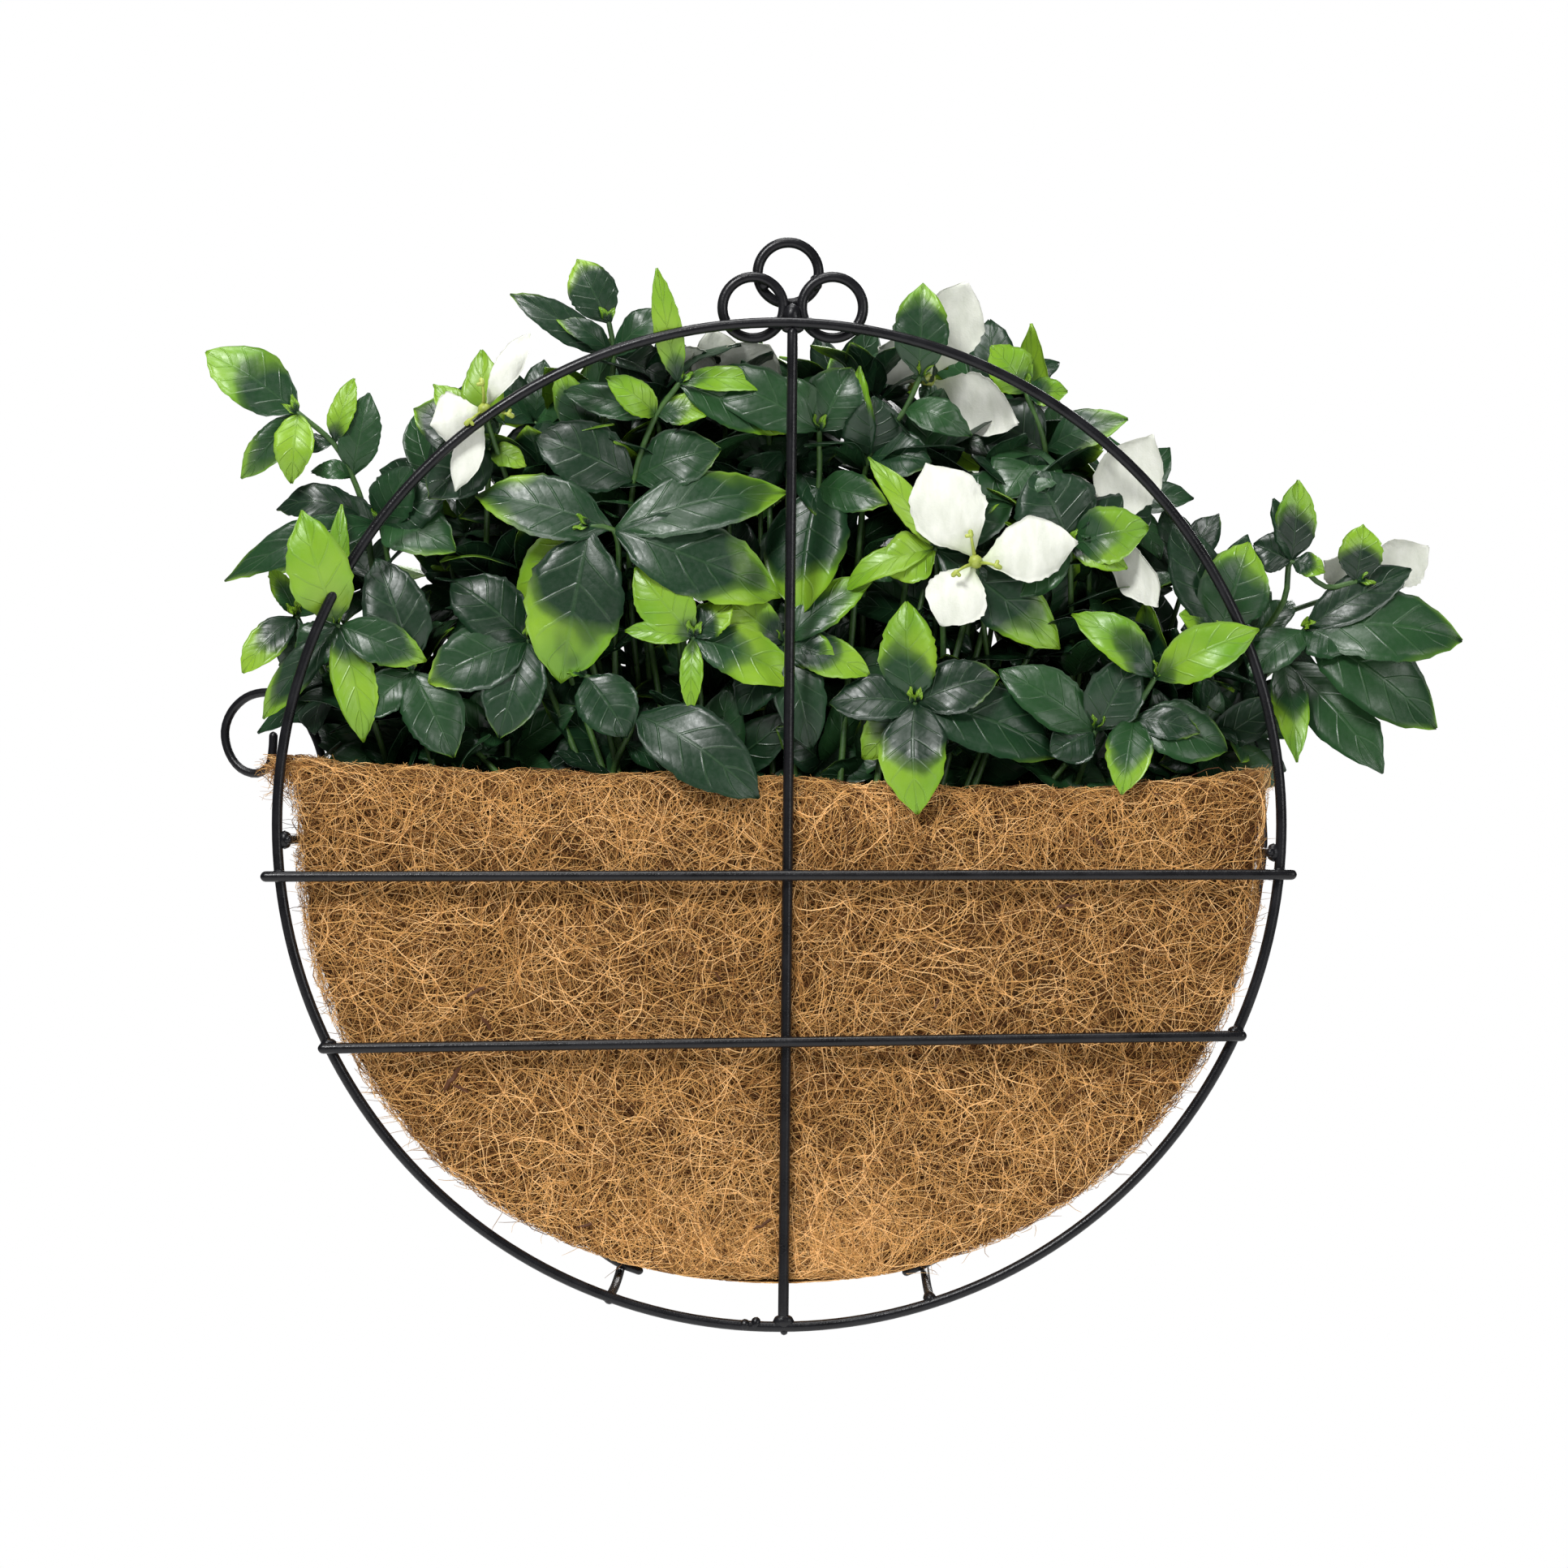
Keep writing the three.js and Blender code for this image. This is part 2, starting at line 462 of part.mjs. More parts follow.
// A leaf or petal: a thin folded blade from its base to its tip, `grow` thicker all round for the gap test.
function blade(foot, tip, width, sag, start, grow) {
  const along = tip.clone().sub(foot).normalize();
  const base = foot.clone().addScaledVector(along, start);
  const length = base.distanceTo(tip);
  const facing = new THREE.Vector3(0, 1, 0.35).normalize();
  const side = along.clone().cross(facing).normalize();
  const normal = side.clone().cross(along).normalize();
  const half = LEAF.thickness / 2 + grow;
  const sections = [
    [0, LEAF.neck, 0.5],
    [0.36, width / 2, 1],
    [0.7, width * 0.36, 1],
  ];
  const points = [];
  for (const [share, halfWidth, fullness] of sections) {
    const lift = -sag * length * Math.sin(Math.PI * share);
    const middle = base.clone().addScaledVector(along, share * length).addScaledVector(normal, lift);
    points.push(middle.clone().addScaledVector(side, -halfWidth - grow));
    points.push(middle.clone().addScaledVector(normal, -half * fullness));
    points.push(middle.clone().addScaledVector(side, halfWidth + grow));
    points.push(middle.clone().addScaledVector(normal, half * fullness));
  }
  points.push(tip.clone().addScaledVector(along, grow));
  const faces = [
    [0, 1, 2],
    [0, 2, 3],
  ];
  const RIM = 4;
  for (let s = 0; s + 1 < sections.length; s++)
    for (let i = 0; i < RIM; i++) {
      const a = s * RIM + i;
      const b = s * RIM + ((i + 1) % RIM);
      faces.push([a, a + RIM, b + RIM], [a, b + RIM, b]);
    }
  const top = (sections.length - 1) * RIM;
  for (let i = 0; i < RIM; i++) faces.push([top + i, top + RIM, top + ((i + 1) % RIM)]);
  return solidFromFaces(points, faces);
}

const TIP_SHIFTS = [0, 6, 12, -5, 20, 28];
const REACHES = [1, 0.85, 0.7];
const STEM_SHIFTS = [0, 6, -6, 12, -12, 18, -18, 26];
const stemHoles = [];

// Tries a stem bowed a little further each time until one is clear of all that is placed.
function clearStem(root, path) {
  for (const aside of STEM_SHIFTS)
    for (const deeper of STEM_SHIFTS) {
      const points = [
        at(root[0], root[1], FOAM.topUp - STEM.buried),
        at(root[0], root[1], FOAM.topUp + STEM_SEAT),
        ...path.map(([right, forward, up], i) => {
          const bow = i + 1 < path.length ? 1 : 0;
          return at(...keepForward([right + bow * aside, forward + bow * Math.max(deeper, 0), up]));
        }),
      ];
      const spans = STEM.steps * (points.length - 2);
      if (isClear(wire(points, STEM.radius + SEAT_GAP, STEM.sides, spans), placed))
        return {
          points,
          solid: wire(points, STEM.radius, STEM.sides, spans),
          hole: wire(points, STEM.radius + STEM.hole, STEM.sides, spans),
        };
    }
  return null;
}

// Adds one spray or flower, leaving out any blade that no shift brings clear of its neighbours.
function addPlant(name, root, path, blades, look, sag) {
  const stem = clearStem(root, path);
  if (!stem) {
    console.log(name + ": no clear stem");
    return;
  }
  const nodes = stem.points.slice(2);
  const bud = nodes[nodes.length - 1];
  const budShape = new THREE.OctahedronGeometry(BUD_R);
  budShape.translate(bud.x, bud.y, bud.z);
  let body = stem.solid.add(solidFrom(budShape));
  const obstacles = [...placed, ...keepOuts];
  for (const [node, right, forward, up, width] of blades) {
    const base = nodes[node];
    const start = base === bud ? LEAF.budStart : LEAF.stemStart;
    let fitted = null;
    for (const reach of REACHES)
      for (const shift of TIP_SHIFTS) {
        if (fitted) continue;
        const wanted = at(...keepForward([right, forward + shift, up]));
        const tip = base.clone().lerp(wanted, reach);
        if (!isClear(blade(base, tip, width * reach, sag, start, LEAF.gap), obstacles)) continue;
        fitted = blade(base, tip, width * reach, sag, start, 0);
      }
    if (fitted) body = body.add(fitted);
    else console.log(name + ": a blade was left out");
  }
  stemHoles.push(stem.hole);
  add(name, body.simplify(SIMPLIFY), look);
}

for (const [name, root, path, petals] of FLOWERS) {
  const blades = petals.map((petal) => [path.length - 1, ...petal]);
  addPlant("flower_" + name, root, path, blades, PETAL_WHITE, PETAL_SAG);
}
const allSprays = [...SPRAYS];
for (let i = 0; i < FRONT_SPRAYS; i++) allSprays.push(frontSpray(i));
for (const [name, root, path, leaves] of allSprays)
  addPlant("spray_" + name, root, path, leaves, LEAF_GREEN, LEAF.sag);

let foam = foamBlank;
for (const hole of stemHoles) foam = foam.subtract(hole);
add("foam_block", foam.simplify(SIMPLIFY), FOAM_GREEN);

export default basket;
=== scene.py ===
"""Looks of the wall-hung half basket: welded cage, coir liner and artificial gardenia sprays.

Everything is worked out in millimetres in the row frame (+Z up, the wall on +Y), and scaled once, as a
piece is made.
"""

import math

import bpy
import numpy as np
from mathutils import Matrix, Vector, noise


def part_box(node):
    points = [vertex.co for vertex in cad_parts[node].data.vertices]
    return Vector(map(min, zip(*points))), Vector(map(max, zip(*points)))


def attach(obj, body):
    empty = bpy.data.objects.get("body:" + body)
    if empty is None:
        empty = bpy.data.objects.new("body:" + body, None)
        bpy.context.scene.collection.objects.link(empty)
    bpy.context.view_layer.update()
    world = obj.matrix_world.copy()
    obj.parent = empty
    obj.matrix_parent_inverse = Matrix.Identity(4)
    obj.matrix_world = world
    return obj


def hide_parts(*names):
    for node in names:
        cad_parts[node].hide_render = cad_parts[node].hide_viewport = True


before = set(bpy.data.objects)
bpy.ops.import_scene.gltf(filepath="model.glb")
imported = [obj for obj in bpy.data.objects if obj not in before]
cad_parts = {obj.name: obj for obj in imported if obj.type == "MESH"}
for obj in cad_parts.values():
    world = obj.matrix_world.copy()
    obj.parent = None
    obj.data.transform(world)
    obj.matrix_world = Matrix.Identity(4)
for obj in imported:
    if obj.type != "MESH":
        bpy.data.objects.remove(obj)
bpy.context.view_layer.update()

MM = 0.001
CAGE = "cage"
PLANTING = "planting"

# ---- the ring frame: right as seen from the wall side, forward away from the wall, up ----

ring_low, ring_high = (np.array(corner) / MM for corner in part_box("main_ring"))
RING_CENTRE = (ring_low + ring_high) / 2
WIRE_R = (ring_high - ring_low)[1] / 2
RING_R = (ring_high - ring_low)[0] / 2 - WIRE_R
LIGHT_WIRE_R = 1.8
LAYER = 4.5  # between the middles of two wires that are welded one behind the other
SEAT_GAP = 0.3
WALLWARD = np.array([0.0, 1.0, 0.0])
UPWARD = np.array([0.0, 0.0, 1.0])


def at(right, forward, up):
    """A point of the ring frame, in the row frame."""
    away = np.broadcast_arrays(-np.asarray(right, float), -np.asarray(forward, float), up)
    return RING_CENTRE + np.stack(away, -1)


def unit(vectors):
    return vectors / np.maximum(np.linalg.norm(vectors, axis=-1, keepdims=True), 1e-9)


def smoothstep(low, high, value):
    share = np.clip((value - low) / (high - low), 0, 1)
    return share * share * (3 - 2 * share)


# ---- meshes ----


class Pile:
    """Collects the faces of one piece, with a material slot for each face and four values for each point."""

    def __init__(self):
        self.points, self.faces, self.slots = [], [], []
        self.values = {"lime": [], "tone": [], "along": [], "across": []}
        self.count = 0

    def add(self, points, faces, slot=0, **values):
        """faces is a list of arrays of triangles or quads. slot is a number, or an array for each of them."""
        points = np.asarray(points, float).reshape(-1, 3)
        self.points.append(points)
        for i, group in enumerate(faces):
            self.faces.append(np.asarray(group, int) + self.count)
            self.slots.append(slot[i] if isinstance(slot, list) else np.full(len(group), slot))
        for name, kept in self.values.items():
            value = np.asarray(values.get(name, 0.0), float)
            kept.append(np.broadcast_to(value.reshape(-1) if value.ndim else value, len(points)))
        self.count += len(points)

    def make(self, name, body, materials, replaced=(), smooth=True):
        mesh = bpy.data.meshes.new(name)
        corners = np.concatenate([group.ravel() for group in self.faces])
        sizes = np.concatenate([np.full(len(group), group.shape[1]) for group in self.faces])
        mesh.vertices.add(self.count)
        mesh.vertices.foreach_set("co", (np.concatenate(self.points) * MM).astype(np.float32).ravel())
        mesh.loops.add(len(corners))
        mesh.loops.foreach_set("vertex_index", corners.astype(np.int32))
        mesh.polygons.add(len(sizes))
        mesh.polygons.foreach_set("loop_start", np.concatenate([[0], np.cumsum(sizes)[:-1]]).astype(np.int32))
        mesh.polygons.foreach_set("material_index", np.concatenate(self.slots).astype(np.int32))
        for value, kept in self.values.items():
            attribute = mesh.attributes.new(value, "FLOAT", "POINT")
            attribute.data.foreach_set("value", np.concatenate(kept).astype(np.float32))
        mesh.update(calc_edges=True)
        mesh.validate()
        mesh.polygons.foreach_set("use_smooth", np.full(len(mesh.polygons), smooth))
        for material in materials:
            mesh.materials.append(material)
        piece = bpy.data.objects.new(name, mesh)
        bpy.context.scene.collection.objects.link(piece)
        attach(piece, body)
        if replaced:
            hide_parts(*replaced)
        return piece


def smooth_path(points, step):
    """Points about step apart along the centripetal Catmull-Rom curve through the given ones."""
    points = np.asarray(points, float)
    padded = np.vstack([2 * points[0] - points[1], points, 2 * points[-1] - points[-2]])
    found = []
    for i in range(len(points) - 1):
        p = padded[i : i + 4]
        knots = np.concatenate([[0], np.cumsum(np.sqrt(np.linalg.norm(np.diff(p, axis=0), axis=1)) + 1e-6)])
        count = max(2, int(np.ceil(np.linalg.norm(p[2] - p[1]) / step)))
        t = np.linspace(knots[1], knots[2], count, endpoint=False)[:, None]

        def between(a, b, low, high, t=t, knots=knots):
            return (a * (knots[high] - t) + b * (t - knots[low])) / (knots[high] - knots[low])

        a1, a2, a3 = (between(p[k], p[k + 1], k, k + 1) for k in range(3))
        b1, b2 = between(a1, a2, 0, 2), between(a2, a3, 1, 3)
        found.append(between(b1, b2, 1, 2))
    return np.vstack([*found, points[-1:]])


def carried_sides(tangents):
    """A side direction for each point of a path, turning as little as it can along the path."""
    start = np.cross(tangents[0], WALLWARD)
    if np.linalg.norm(start) < 0.1:
        start = np.cross(tangents[0], UPWARD)
    sides = [unit(start)]
    for tangent in tangents[1:]:
        previous = sides[-1]
        sides.append(unit(previous - tangent * np.dot(previous, tangent)))
    return np.array(sides)


def grid_faces(rows, columns, wrap):
    """Quads of a grid of points, rows by columns, whose columns close on themselves when wrap is true."""
    r, c = np.meshgrid(np.arange(rows - 1), np.arange(columns if wrap else columns - 1), indexing="ij")
    after = (c + 1) % columns
    quads = [r * columns + c, r * columns + after, (r + 1) * columns + after, (r + 1) * columns + c]
    return np.stack(quads, -1).reshape(-1, 4)


def end_fans(rows, sides, inwards=False):
    """Triangles that close both ends of a wrapped grid, from the two points added after the grid's own."""
    i = np.arange(sides)
    after = (i + 1) % sides
    last = (rows - 1) * sides
    start = np.stack([np.full(sides, rows * sides), after, i], -1)
    end = np.stack([np.full(sides, rows * sides + 1), last + i, last + after], -1)
    fans = np.vstack([start, end])
    return fans[:, ::-1] if inwards else fans


def add_tube(pile, path, radius, sides=12, slot=0, closed=False, cap_steps=4):
    """A round tube along a path. Its ends are domes, unless the path is closed."""
    path = np.asarray(path, float)
    radii = np.broadcast_to(np.asarray(radius, float), len(path))
    if closed:
        tangents = unit(np.roll(path, -1, 0) - np.roll(path, 1, 0))
    else:
        tangents = unit(np.gradient(path, axis=0))
    across = carried_sides(tangents)
    if not closed:
        bend = np.linspace(0, math.pi / 2, cap_steps + 1)[:-1]
        first, last = radii[0], radii[-1]
        before = path[0] - tangents[0] * (first * np.sin(bend[:0:-1]))[:, None]
        beyond = path[-1] + tangents[-1] * (last * np.sin(bend[1:]))[:, None]
        path = np.vstack([before, path, beyond])
        radii = np.concatenate([first * np.cos(bend[:0:-1]), radii, last * np.cos(bend[1:])])
        grown = ((len(bend) - 1,) * 2, (0, 0))
        tangents, across = np.pad(tangents, grown, "edge"), np.pad(across, grown, "edge")
    upright = np.cross(tangents, across)
    turn = np.linspace(0, 2 * math.pi, sides, endpoint=False)
    offsets = across[:, None] * np.cos(turn)[None, :, None] + upright[:, None] * np.sin(turn)[None, :, None]
    points = (path[:, None] + offsets * radii[:, None, None]).reshape(-1, 3)
    faces = grid_faces(len(path), sides, True)
    if closed:
        start, end = np.arange(sides), (len(path) - 1) * sides + np.arange(sides)
        faces = np.vstack([faces, np.stack([end, np.roll(end, -1), np.roll(start, -1), start], -1)])
        pile.add(points, [faces], slot)
        return
    tips = np.vstack([path[0] - tangents[0] * radii[0] * 0.3, path[-1] + tangents[-1] * radii[-1] * 0.3])
    pile.add(np.vstack([points, tips]), [faces, end_fans(len(path), sides)], slot)


# ---- materials ----


VEIN_PAIRS = 5.5  # side veins along a leaf, and how far they run towards its tip by its edge
VEIN_SLANT = 1.3


class Recipe:
    """A new material, with short calls for its nodes."""

    def __init__(self, name, **sockets):
        self.material = bpy.data.materials.new(name)
        self.material.use_nodes = True
        self.tree = self.material.node_tree
        self.shader = self.tree.nodes["Principled BSDF"]
        for socket, value in sockets.items():
            self.shader.inputs[socket.replace("_", " ")].default_value = value

    def node(self, kind, inputs=(), **settings):
        made = self.tree.nodes.new("ShaderNode" + kind)
        for key, value in settings.items():
            setattr(made, key, value)
        for key, value in dict(inputs).items():
            if isinstance(value, bpy.types.NodeSocket):
                self.tree.links.new(value, made.inputs[key])
            else:
                made.inputs[key].default_value = value
        return made

    def value(self, operation, a, b=0.0):
        return self.node("Math", {0: a, 1: b}, operation=operation).outputs[0]

    def attribute(self, name):
        return self.node("Attribute", attribute_name=name).outputs["Fac"]

    def place(self, scale=(1, 1, 1), turn=(0, 0, 0), warp=None):
        place = self.node("TexCoord").outputs["Object"]
        if warp is not None:
            place = self.node("VectorMath", {0: place, 1: warp}, operation="ADD").outputs[0]
        return self.node("Mapping", {"Vector": place, "Rotation": turn, "Scale": scale}).outputs[0]

    def noise(self, scale, detail=3.0, vector=None, output="Fac"):
        inputs = {"Vector": vector or self.place(), "Scale": scale, "Detail": detail}
        return self.node("TexNoise", inputs).outputs[output]

    def ramp(self, fac, stops):
        made = self.node("ValToRGB", {"Fac": fac})
        elements = made.color_ramp.elements
        while len(elements) < len(stops):
            elements.new(0.5)
        for element, (place, colour) in zip(elements, stops):
            element.position = place
            element.color = (*colour, 1) if isinstance(colour, tuple) else (colour, colour, colour, 1)
        return made.outputs[0]

    def mix(self, fac, a, b):
        made = self.node("Mix", data_type="RGBA")
        for index, value in ((0, fac), (6, a), (7, b)):
            if isinstance(value, bpy.types.NodeSocket):
                self.tree.links.new(value, made.inputs[index])
            else:
                made.inputs[index].default_value = (*value, 1) if isinstance(value, tuple) else value
        return made.outputs[2]

    def set(self, socket, output):
        self.tree.links.new(output, self.shader.inputs[socket])

    def bump(self, height, distance):
        self.set("Normal", self.node("Bump", {"Height": height, "Distance": distance}).outputs[0])


def powder_coat():
    made = Recipe("powder_coat", Specular_IOR_Level=0.3)
    broad = made.noise(90, 3)
    fine = made.noise(1400, 2)
    made.set("Base Color", made.ramp(broad, [(0.3, (0.004, 0.004, 0.005)), (0.7, (0.008, 0.008, 0.01))]))
    made.set("Roughness", made.ramp(broad, [(0.3, 0.24), (0.7, 0.36)]))
    made.bump(made.value("ADD", fine, made.value("MULTIPLY", broad, 2.0)), 0.00008)
    return made.material


def coir_felt():
    """The packed fibres under the loose ones: pale streaks in several directions, with the gaps between them
    painted dark as shade.
    """
    made = Recipe("coir_felt", Roughness=0.92, Specular_IOR_Level=0.2)
    bend = made.noise(28, 2, output="Color")
    warp = made.node("VectorMath", {0: bend, 1: (0.05, 0.05, 0.05)}, operation="MULTIPLY").outputs[0]
    height = None
    for turn in (0.3, 1.1, 1.9, 2.7):
        streak = made.noise(1, 3, made.place((120, 120, 1500), (0, turn, turn * 0.5), warp))
        streak = made.ramp(streak, [(0.5, 0.0), (0.62, 1.0)])
        if height is not None:
            streak = made.value("MAXIMUM", made.value("MULTIPLY", height, 0.86), streak)
        height = streak
    tint = made.noise(60, 4)
    # The gaps between the streaks, where the bump sinks, are painted near-black brown as shade. The whole
    # felt is kept darker than the loose fibres over it, also as painted shade.
    dark = made.ramp(tint, [(0.3, (0.05, 0.018, 0.005)), (0.7, (0.1, 0.04, 0.012))])
    pale = made.ramp(tint, [(0.35, (0.2, 0.095, 0.03)), (0.65, (0.34, 0.19, 0.065))])
    made.set("Base Color", made.mix(height, dark, pale))
    made.bump(height, 0.0006)
    return made.material


FIBRE_COLOURS = {
    "straw": (0.92, 0.59, 0.265),
    "golden": (0.66, 0.38, 0.13),
    "tan": (0.4, 0.2, 0.058),
    "amber": (0.23, 0.1, 0.028),
    "brown": (0.1, 0.036, 0.01),
    "bark": (0.08, 0.026, 0.006),
}
# The six tones differ as real coir does. The darker ones given to the deepest fibres stand for painted shade,
# and the paler ones given to the top fibres stand for painted light.
SHADED_DEEP_SHARES = np.array([0.0, 0.08, 0.24, 0.34, 0.29, 0.05])
LIT_TOP_SHARES = np.array([0.26, 0.42, 0.22, 0.08, 0.02, 0.0])


def fibre_materials():
    made = []
    for name, colour in FIBRE_COLOURS.items():
        recipe = Recipe("coir_" + name, Roughness=0.62, Specular_IOR_Level=0.35)
        recipe.shader.inputs["Base Color"].default_value = (*colour, 1)
        made.append(recipe.material)
    return made


def leaf_plastic():
    """Dark glossy green with embossed pale veins, which turns soft lime by the lime value."""
    made = Recipe("leaf_plastic", Specular_IOR_Level=0.48)
    along, across = made.attribute("along"), made.attribute("across")
    off_middle = made.value("ABSOLUTE", across)
    branching = made.value("MULTIPLY", off_middle, VEIN_SLANT)
    slanted = made.value("SUBTRACT", made.value("MULTIPLY", along, VEIN_PAIRS), branching)
    distance = made.value("PINGPONG", slanted, 0.5)
    midrib = made.ramp(off_middle, [(0.02, 1.0), (0.06, 0.0)])
    branch = made.ramp(distance, [(0.02, 1.0), (0.075, 0.0)])
    branch = made.value("MULTIPLY", branch, made.ramp(off_middle, [(0.7, 1.0), (0.92, 0.0)]))
    vein = made.value("MAXIMUM", midrib, branch)
    puff = made.value("SMOOTH_MAX", distance, 0.12)
    spots = made.noise(34, 2)
    fine = made.noise(520, 3)
    tone = made.value("MULTIPLY", made.attribute("tone"), 0.6)
    shade = made.value("ADD", made.value("MULTIPLY", spots, 0.5), tone)
    greens = [(0.2, (0.004, 0.017, 0.007)), (0.55, (0.008, 0.034, 0.012)), (0.9, (0.018, 0.066, 0.018))]
    dark = made.ramp(shade, greens)
    lime = made.ramp(spots, [(0.3, (0.115, 0.275, 0.01)), (0.7, (0.22, 0.385, 0.022))])
    uneven = made.value("MULTIPLY", made.value("SUBTRACT", spots, 0.5), 0.7)
    reach = made.value("ADD", made.attribute("lime"), uneven)
    colour = made.mix(made.ramp(reach, [(0.38, 0.0), (0.5, 0.3), (0.57, 0.85), (0.7, 1.0)]), dark, lime)
    paler = made.mix(0.5, colour, (0.1, 0.22, 0.08))
    made.set("Base Color", made.mix(made.value("MULTIPLY", vein, 0.2), colour, paler))
    made.set("Roughness", made.ramp(fine, [(0.3, 0.3), (0.7, 0.44)]))
    relief = made.value("SUBTRACT", made.value("MULTIPLY", puff, 0.7), made.value("MULTIPLY", vein, 0.45))
    made.bump(made.value("ADD", relief, made.value("MULTIPLY", fine, 0.2)), 0.0004)
    return made.material


def stem_plastic():
    made = Recipe("stem_plastic", Roughness=0.5)
    tint = made.noise(120, 3)
    made.set("Base Color", made.ramp(tint, [(0.35, (0.02, 0.06, 0.012)), (0.65, (0.05, 0.12, 0.02))]))
    made.bump(made.noise(900, 2), 0.0002)
    return made.material


def petal_cloth():
    made = Recipe("petal_cloth", Roughness=0.62, Specular_IOR_Level=0.3, Subsurface_Weight=0.12)
    made.shader.inputs["Subsurface Radius"].default_value = (0.004, 0.004, 0.003)
    near = made.ramp(made.attribute("along"), [(0.0, 1.0), (0.32, 0.0)])
    crease = made.noise(1, 3, made.place((220, 220, 90)))
    # The crinkles' dips, where the bump sinks the cloth, are painted darker as shade.
    body = made.ramp(crease, [(0.3, (0.61, 0.63, 0.55)), (0.7, (0.74, 0.75, 0.68))])
    made.set("Base Color", made.mix(made.value("MULTIPLY", near, 0.6), body, (0.38, 0.5, 0.17)))
    weave = made.noise(1500, 1)
    made.bump(made.value("ADD", crease, made.value("MULTIPLY", weave, 0.2)), 0.0005)
    return made.material


def stamen_plastic():
    made = Recipe("stamen_plastic", Roughness=0.45)
    tint = made.noise(300, 2)
    made.set("Base Color", made.ramp(tint, [(0.3, (0.26, 0.33, 0.04)), (0.7, (0.42, 0.48, 0.09))]))
    return made.material


def foam_moss():
    made = Recipe("foam_moss", Roughness=0.95, Specular_IOR_Level=0.2)
    cells = made.node("TexVoronoi", {"Vector": made.place(), "Scale": 700.0}).outputs["Distance"]
    tint = made.noise(80, 3)
    made.set("Base Color", made.ramp(tint, [(0.3, (0.012, 0.03, 0.012)), (0.7, (0.035, 0.07, 0.025))]))
    made.bump(cells, 0.0006)
    return made.material


POWDER = powder_coat()
FELT = coir_felt()
FIBRES = fibre_materials()
LEAF = leaf_plastic()
STEM = stem_plastic()
PETAL = petal_cloth()
STAMEN = stamen_plastic()
FOAM = foam_moss()

# ---- the cage ----

# The hoop leans, so its two ends stand at different heights. Both are on the wall side of the ring's middle.
HOOP = {"half_width": 193.5, "depth": 190, "up": -8.5, "lean": 2.5, "end_forward": -1.5}
RIB_POWER = 2.8
RIB_OUTSIDE_HOOP = 2 * LIGHT_WIRE_R + SEAT_GAP
SCROLL = [
    (1, 23.5), (3, 35.5), (7.5, 45.5), (14, 54), (21, 58.5), (28, 60), (37, 58), (44, 52), (47, 44), (45, 35),
    (39.5, 28.5), (32, 26.5), (26.5, 30), (25, 36), (24.6, 42),
]  # outwards from the rib and up from the hoop


WIRE_NAMES = {"main_ring": "ring_wire", "front_hoop": "hoop_wire"}


def wire_piece(node, path, radius, closed=False):
    """The wire that stands for one node of the cage."""
    pile = Pile()
    add_tube(pile, path, radius, 16, closed=closed)
    pile.make(WIRE_NAMES.get(node, node + "_wire"), CAGE, [POWDER], [node])


def circle(centre, radius, count):
    turn = np.linspace(0, 2 * math.pi, count, endpoint=False)
    return centre + np.stack([radius * np.cos(turn), np.zeros(count), radius * np.sin(turn)], -1)


def straight(start, end, inset, count=60):
    """A line of points that stops the inset short of both ends, for a bar with domed ends."""
    along = unit(end - start)
    return np.linspace(start + along * inset, end - along * inset, count)


def hoop_point(angle, outside=0.0):
    return at(
        -(HOOP["half_width"] + outside) * math.cos(angle),
        (HOOP["depth"] + outside) * math.sin(angle),
        HOOP["up"] + HOOP["lean"] * math.cos(angle),
    )


def scroll_points(foot, right, forward, drop):
    """The scroll that starts at the rib's foot on the hoop and opens the way right and forward say."""
    return [foot + np.array([-right * out, -forward * out, rise - drop]) for out, rise in SCROLL]


def front_rib_path(right, end_up, lean):
    """From the weld at the bottom of the ring, forward under the bowl and up to the hoop, then the scroll."""
    foot = hoop_point(math.acos(-right / HOOP["half_width"]), RIB_OUTSIDE_HOOP)
    reach = RING_CENTRE[1] - foot[1]
    foot_up = foot[2] - RING_CENTRE[2]
    start = WIRE_R + SEAT_GAP
    path = []
    for degrees in (0, 6, 14, 24, 35, 46, 57, 68, 79):
        angle = math.radians(degrees)
        share = math.sin(angle) ** (2 / RIB_POWER)
        up = foot_up + (end_up - foot_up) * math.cos(angle) ** (2 / RIB_POWER)
        path.append(at(right + lean * (1 - share), start + (reach - start) * share, up))
    return [*path, foot, *scroll_points(foot, math.copysign(0.3, right), 0.95, 0)]


LINER = {
    "half_width": 191, "depth": 186, "flare": 2.5, "zero_up": -5, "height": 176, "width_power": 2.1,
    "depth_power": 3.4, "back": 2.6, "wall": 8, "rim_up": 20,
}
RIM = [
    (-196, 26), (-136, 21.5), (-75, 19.7), (-30, 19), (0, 18),
    (53, 15), (112, 13.5), (158, 16.4), (176, 20), (192, 22),
]  # right and up along the liner's uneven back edge


def shrunk(share, power):
    """How much of a width is left at a share of the height, along a superellipse of the given power."""
    return np.power(np.maximum(1 - np.power(np.clip(share, 0, 1), power), 0), 1 / power)


def height_at(share):
    """The height at a share of the way down the bowl."""
    return LINER["zero_up"] - LINER["height"] * share


def bowl_reach(up, inset=0.0):
    """Half the width and the depth of the bowl's outside at a height, with the inset taken off."""
    share = np.clip((LINER["zero_up"] - up) / LINER["height"], 0, 1)
    rise = np.clip((up - LINER["zero_up"]) / (LINER["rim_up"] - LINER["zero_up"]), 0, 1.2)
    width = LINER["half_width"] * shrunk(share, LINER["width_power"]) + LINER["flare"] * rise - inset
    depth = LINER["depth"] * shrunk(share, LINER["depth_power"]) + LINER["flare"] * rise - inset
    return width, depth


